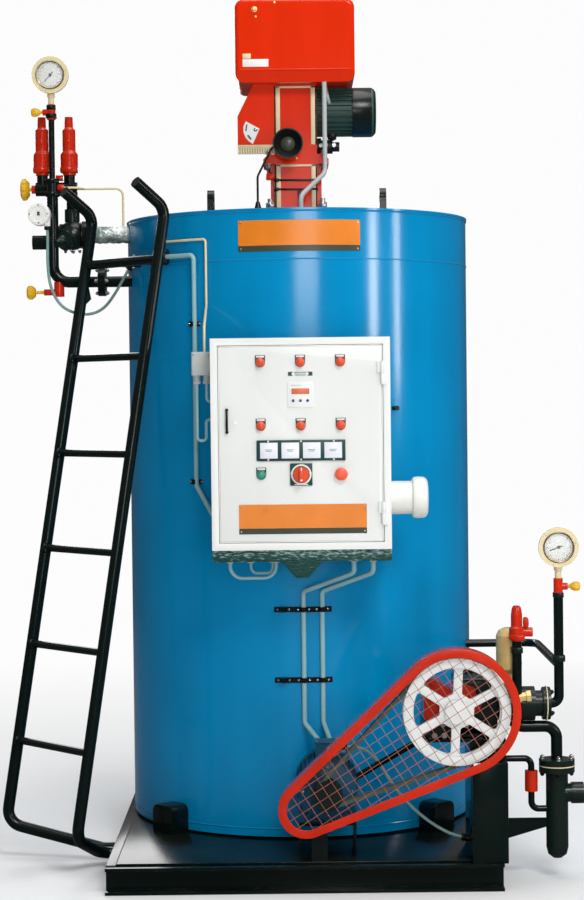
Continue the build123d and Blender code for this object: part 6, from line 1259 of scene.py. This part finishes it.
class BOILER_OT_feed_pump(bpy.types.Operator):
    """Put bolts, nuts, bands and caps on the pump, its motor and its fittings"""

    bl_idname = "boiler.feed_pump"
    bl_label = "Feed pump"

    def execute(self, context):
        softened("pump_wheel", 1.6)
        fluted_knob("feed_cock_knob", 8)
        self.crankcase()
        self.strainer()
        self.pump_head()
        self.relief()
        self.motor()
        return {"FINISHED"}

    def crankcase(self):
        """Black crankcase with a neck to the pump head, and the red bearing casting in front of it."""
        case = [
            block("case", (334, CASE_FRONT, 409), (510, -586, 470), 8, 3),
            block("case", (424, CASE_FRONT, 409), (540, -586, 577), 14, 4),
            bar("neck", PUMP_HEAD + RIGHT * 466, PUMP_HEAD + RIGHT * 545, 52, 40, 2),
        ]
        settle(join("crankcase_body", case), "iron", replaces=["pump_crankcase"])
        outline = [(-80, 84), (-60, 84), (-38, 70), (-12, 50), (30, 68), (52, 58), (58, 38), (50, 18)]
        outline += [(70, 16), (72, -2), (56, -10), (36, -22), (0, -32), (-40, -46), (-70, -42)]
        outline += [(-87, -20), (-87, 42), (-84, 60)]
        points = [(WHEEL.x + x, CASTING_FRONT, WHEEL.z + z) for x, z in outline]
        boss = [(0, 0), (0, 40), (11, 40), (14, 37), (14, 0)]
        casting = [
            sheet_of("casting", points, -FRONT * 150, 4),
            lathe("boss", boss, (WHEEL.x, CASE_FRONT, WHEEL.z), FRONT, 40),
        ]
        settle(join("bearing_casting", casting), "red_paint")
        spots = [(388, 450), (452, 446), (364, 418), (391, 418), (490, 520)]
        bolts("crankcase_bolts", [(x, CASE_FRONT, z) for x, z in spots], FRONT, "bright_steel", 6)
        spots = [(358, 562), (372, 543), (400, 520), (345, 500), (352, 520)]
        bolts("casting_bolts", [(x, CASTING_FRONT, z) for x, z in spots], FRONT, "red_paint", 5)
        bolts("pump_foot_bolts", [(x, y, 409) for x in (352, 492) for y in (-764, -600)], UP, radius=7)
        cap = [(0, 0), (0, 18), (4, 18), (6, 14), (10, 14), (11, 12), (11, 0)]
        settle(lathe("crankcase_filler", cap, (467, -640, 577), UP, 24), "black_plastic")

    def strainer(self):
        """Bolts, nuts and gasket of the strainer's lid."""
        bolts("strainer_bolts", polar(STRAINER + UP * 336, UP, 41, 4, 45), UP, radius=7)
        bolts("strainer_nuts", polar(STRAINER + UP * 300, UP, 41, 4, 45), -UP, "black_paint", 7)
        joint = [(-1.4, 40), (-1.4, 50.4), (1.4, 50.4), (1.4, 40)]
        settle(ring("strainer_gasket", joint, STRAINER + UP * 318, UP, 48), "cream_plastic")

    def pump_head(self):
        """Neck and flange pair of the pump head with a pale gasket between them, and a brass union."""
        rings = []
        for x, thick, out in ((560, 9, 42), (648, 26, 36), (672, 10, 46), (684.5, 9.5, 46)):
            profile = [(0, 20), (0, out - 1), (1, out), (thick - 1, out), (thick, out - 1), (thick, 20)]
            rings.append(ring("ring", profile, PUMP_HEAD + RIGHT * x, RIGHT, 40))
        settle(join("pump_head_rings", rings), "iron")
        gasket = [(0, 20), (0, 48.5), (2.5, 48.5), (2.5, 20)]
        settle(ring("pump_head_gasket", gasket, PUMP_HEAD + RIGHT * 682, RIGHT, 40), "cream_plastic")
        bolts("pump_head_bolts", polar(PUMP_HEAD + RIGHT * 694, RIGHT, 34, 6), RIGHT, "iron", 6)
        union = [(0, 0), (0, 17), (12, 17), (14, 13), (26, 13), (28, 17), (40, 17), (40, 0)]
        settle(lathe("pump_union", union, (596, RELIEF.y, 515), (0.9, 0, 0.1), 6), "brass")

    def relief(self):
        """Side outlet ring, hexagon and cap of the relief valve, and the nuts and band on the pipes."""
        side = [(0, 8), (0, 15), (5, 17), (12, 15), (14, 10), (10, 7)]
        cap = [(0, 0), (0, 15), (10, 14), (18, 12), (22, 6), (23, 0)]
        pieces = [
            ring("side_ring", side, RELIEF + Vector((19, 0, 724)), RIGHT, 28),
            bar("hexagon", RELIEF + UP * 678, RELIEF + UP * 692, 25, 6, 1.2),
            lathe("cap", cap, RELIEF + UP * 750, UP, 28),
        ]
        settle(join("relief_valve_cap", pieces), "red_paint")
        places = ((GAUGE_PIPE, 790, 804, 17), (GAUGE_PIPE, 610, 628, 20), (RELIEF, 640, 656, 19))
        nuts = [
            bar("nut", pipe + UP * low, pipe + UP * high, radius, 6, 1)
            for pipe, low, high, radius in places
        ]
        settle(join("feed_pipe_nuts", nuts), "iron")
        band = [(0, 34), (0, 36.8), (8, 36.8), (8, 34)]
        settle(ring("vessel_band", band, (582, -672, 600), UP, 36), "brass")

    def motor(self):
        """Paint, terminal box lid and end bolts of the pump motor."""
        finish_node("drive_motor", "motor_blue")
        settle(block("terminal_lid", (30, -694, 386), (102, -622, 391), 2), "motor_blue")
        screws("terminal_screws", [(x, y, 391) for x in (38, 94) for y in (-686, -630)], UP, 3.2)
        bolts("motor_shield_bolts", polar(PUMP_MOTOR, FRONT, 68, 4, 45), FRONT, "bright_steel", 4)


PULLEY = Vector((6, 0, 230))
MESH_BIG, MESH_SMALL = 159.0, 62.0
MESH_PITCH = 28.0
MESH_DEPTH = -858.6


class BOILER_OT_guard(bpy.types.Operator):
    """Round the guard's rim and weave its mesh from round wire"""

    bl_idname = "boiler.guard"
    bl_label = "Belt guard"

    def execute(self, context):
        softened("guard_rim", 2.6, 3)
        wire = settings()[0].wire / MM
        run = PULLEY - WHEEL
        reach = run.length + MESH_SMALL
        way = run.normalized()
        across = Vector((-way.z, 0, way.x))
        wires = []
        for row in range(math.ceil(-MESH_BIG / MESH_PITCH), int(reach / MESH_PITCH) + 1):
            along = row * MESH_PITCH
            half = self.half_width(along, run.length)
            if half > 8:
                wires.append([WHEEL + way * along + across * side * half - FRONT * wire for side in (-1, 1)])
        spots = range(-160, int(reach) + 1, 2)
        for row in range(-5, 6):
            offset = row * MESH_PITCH
            inside = [along for along in spots if self.half_width(along, run.length) > abs(offset)]
            ends = (inside[0], inside[-1])
            wires.append([WHEEL + way * along + across * offset + FRONT * wire for along in ends])
        depth = FRONT * -MESH_DEPTH
        pieces = [bar("wire", start + depth, end + depth, wire, 8, 0.2) for start, end in wires]
        settle(join("guard_wires", pieces), "mesh_red", replaces=["guard_mesh"])
        return {"FINISHED"}

    def half_width(self, along, run):
        """Half the width of the mesh at a distance along the guard from the wheel to the pulley."""
        lean = (MESH_BIG - MESH_SMALL) / run
        if along < MESH_BIG * lean:
            return math.sqrt(max(MESH_BIG**2 - along**2, 0))
        if along > run + MESH_SMALL * lean:
            return math.sqrt(max(MESH_SMALL**2 - (along - run) ** 2, 0))
        return (MESH_BIG - along * lean) / math.sqrt(1 - lean**2)


CABLE_RADIUS = 4.5
SWITCH_CABLE = (
    (-756, -182, 1879), (-756, -182, 1839), (-757, -187, 1771), (-750, -184, 1701), (-722, -172, 1646),
    (-680, -155, 1623), (-630, -145, 1619), (-588, -148, 1639), (-556, -160, 1681), (-530, -172, 1723),
    (-511, -175.5, 1756),
)
MOTOR_CABLE = (
    (122, -658, 371), (156, -658, 371), (192, -662, 353), (222, -668, 313), (254, -678, 261),
    (296, -691, 211), (345, -701, 169), (392, -707, 140), (420, -708, 128), (444, -708, 122),
)


class BOILER_OT_cables(bpy.types.Operator):
    """Hang the two free cables between their glands"""

    bl_idname = "boiler.cables"
    bl_label = "Cables"

    def execute(self, context):
        for name, points in (("switch_cable", SWITCH_CABLE), ("motor_cable", MOTOR_CABLE)):
            self.cable(name, points)
        return {"FINISHED"}

    def cable(self, name, points):
        """One cable, and the gland nut at each of its ends."""
        made = nurbs_line(name + "_line", points, CABLE_RADIUS, 4, 10)
        made.data.materials.append(FINISHES["cable_grey"])
        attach(made, ROOT)
        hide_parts(name)
        ends = ((points[0], points[1]), (points[-1], points[-2]))
        places = [facing(end, Vector(inner) - Vector(end)) for end, inner in ends]
        nut = bar("nut", UP * -8, UP * 3, 11, 6, 1)
        settle(copies(name + "_gland_nuts", nut, places), "black_plastic")


SKY = (0.98, 0.98, 0.98)
AIM = Vector((0, 0, 1.15))
CAMERA_PLACE = (-0.022, -6.600, 1.352)
CAMERA_DROP = math.radians(1.357)
CAMERA_ROLL = math.radians(0.65)
CAMERA_LENS = 84.44
SENSOR = 36.0


class BOILER_OT_stage(bpy.types.Operator):
    """Lay the pale floor, set the studio lights and place the camera"""

    bl_idname = "boiler.stage"
    bl_label = "Stage"

    def execute(self, context):
        lay_floor(settings()[0].floor)
        light_world()
        softbox("key_light", (1.7, -5.2, 5.2), 2.0, 1.6, 188)
        softbox("low_fill", (0.6, -5.6, 0.9), 3.0, 1.2, 58).visible_glossy = False
        softbox("window_light", (0.67, -6.8, 2.3), 1.7, 0.9, 40)
        softbox("side_window", (3.4, -3.0, 1.95), 0.42, 0.8, 20)
        softbox("far_window", (4.1, -1.85, 1.9), 0.3, 1.0, 16)
        softbox("top_light", (0.4, -0.5, 6.0), 3.0, 3.0, 120)
        softbox("back_light", (-1.5, 5.0, 3.6), 3.0, 2.5, 120)
        place_camera()
        context.scene.view_settings.view_transform = "Standard"
        return {"FINISHED"}


def mix_shader(tree, factor, first, second, output):
    """Leads two shaders, mixed by a factor, to the tree's output."""
    blend = add_node(tree, "ShaderNodeMixShader")
    for value, socket in zip((factor, first, second), blend.inputs):
        tree.links.new(value, socket)
    tree.links.new(blend.outputs["Shader"], tree.nodes[output].inputs["Surface"])


def lay_floor(radius):
    """Pale round floor that fades into the backdrop's white far from the object, and is painted dark grey
    where glossy surfaces reflect it.
    """
    deselect()
    bpy.ops.mesh.primitive_circle_add(vertices=96, radius=radius, fill_type="NGON", location=(0, 0, 0))
    floor = added("floor")
    tree, shader = new_material("floor_pale", roughness=0.6, specular_ior_level=0.2)
    place = add_node(tree, "ShaderNodeTexCoord")
    path = add_node(tree, "ShaderNodeLightPath")
    reach = add_node(tree, "ShaderNodeVectorMath", operation="LENGTH")
    glow = add_node(tree, "ShaderNodeEmission", {"Color": (*SKY, 1), "Strength": 1.0})
    tree.links.new(place.outputs["Object"], reach.inputs[0])
    # painted reflection: the floor's colour is dark grey for glossy rays only
    pale = mix_colour(tree, path.outputs["Is Glossy Ray"], (0.84, 0.845, 0.85), (0.10, 0.10, 0.10))
    tree.links.new(pale, shader.inputs["Base Color"])
    fade = ramp(tree, reach.outputs["Value"], 1.2, 4.5)
    seen = arithmetic(tree, "MULTIPLY", fade, path.outputs["Is Camera Ray"])
    mix_shader(tree, seen, shader.outputs["BSDF"], glow.outputs["Emission"], "Material Output")
    floor.data.materials.append(FINISHES["floor_pale"])


def light_world():
    """White backdrop for the camera, and a dimmer room for light and reflections."""
    world = bpy.data.worlds.new("studio")
    bpy.context.scene.world = world
    world.use_nodes = True
    tree = world.node_tree
    seen = tree.nodes["Background"]
    seen.inputs["Color"].default_value = (*SKY, 1)
    room = add_node(tree, "ShaderNodeBackground", {"Strength": 0.40})
    place = add_node(tree, "ShaderNodeTexCoord")
    height = ramp(tree, height_of(tree, place.outputs["Generated"]), 0.05, 0.8)
    tree.links.new(mix_colour(tree, height, (0.12, 0.13, 0.14), (1.0, 1.0, 0.99)), room.inputs["Color"])
    path = add_node(tree, "ShaderNodeLightPath")
    camera_ray = path.outputs["Is Camera Ray"]
    mix_shader(tree, camera_ray, room.outputs["Background"], seen.outputs["Background"], "World Output")


def softbox(name, place, width, height, power):
    """Rectangular studio light aimed at the middle of the boiler."""
    deselect()
    aim = (AIM - Vector(place)).to_track_quat("-Z", "Y").to_euler()
    bpy.ops.object.light_add(type="AREA", location=place, rotation=aim)
    lamp = bpy.context.object
    lamp.name = name
    lamp.data.shape = "RECTANGLE"
    lamp.data.size = width
    lamp.data.size_y = height
    lamp.data.energy = power
    return lamp


def place_camera():
    """Camera in front of the panel, dropped and rolled a little as the photograph is."""
    deselect()
    turn = Matrix.Rotation(math.pi / 2 - CAMERA_DROP, 4, "X") @ Matrix.Rotation(-CAMERA_ROLL, 4, "Z")
    bpy.ops.object.camera_add(location=CAMERA_PLACE, rotation=turn.to_euler())
    camera = bpy.context.object
    camera.data.sensor_width = SENSOR
    camera.data.lens = CAMERA_LENS
    bpy.context.scene.camera = camera


class BOILER_PT_panel(bpy.types.Panel):
    """Lists the boiler's operators and sizes"""

    bl_idname = "BOILER_PT_panel"
    bl_label = "Steam boiler"
    bl_space_type = "VIEW_3D"
    bl_region_type = "UI"
    bl_category = "Boiler"

    def draw(self, context):
        for group in (context.scene.boiler_sizes, context.scene.boiler_colours):
            for name in group.__annotations__:
                self.layout.prop(group, name)
        for operator in OPERATORS:
            self.layout.operator(operator.bl_idname)


OPERATORS = [
    BOILER_OT_finishes,
    BOILER_OT_skid,
    BOILER_OT_shell,
    BOILER_OT_burner,
    BOILER_OT_panel,
    BOILER_OT_clips,
    BOILER_OT_ladder,
    BOILER_OT_gauges,
    BOILER_OT_steam_side,
    BOILER_OT_feed_pump,
    BOILER_OT_guard,
    BOILER_OT_cables,
    BOILER_OT_stage,
]
CLASSES = [BoilerSizes, BoilerColours, *OPERATORS, BOILER_PT_panel]


def register():
    for made in CLASSES:
        bpy.utils.register_class(made)
    bpy.types.Scene.boiler_sizes = PointerProperty(type=BoilerSizes)
    bpy.types.Scene.boiler_colours = PointerProperty(type=BoilerColours)


def unregister():
    del bpy.types.Scene.boiler_colours
    del bpy.types.Scene.boiler_sizes
    for made in reversed(CLASSES):
        bpy.utils.unregister_class(made)


def main():
    register()
    for operator in OPERATORS:
        getattr(bpy.ops.boiler, operator.bl_idname.split(".")[1])()


if __name__ == "__main__":
    main()
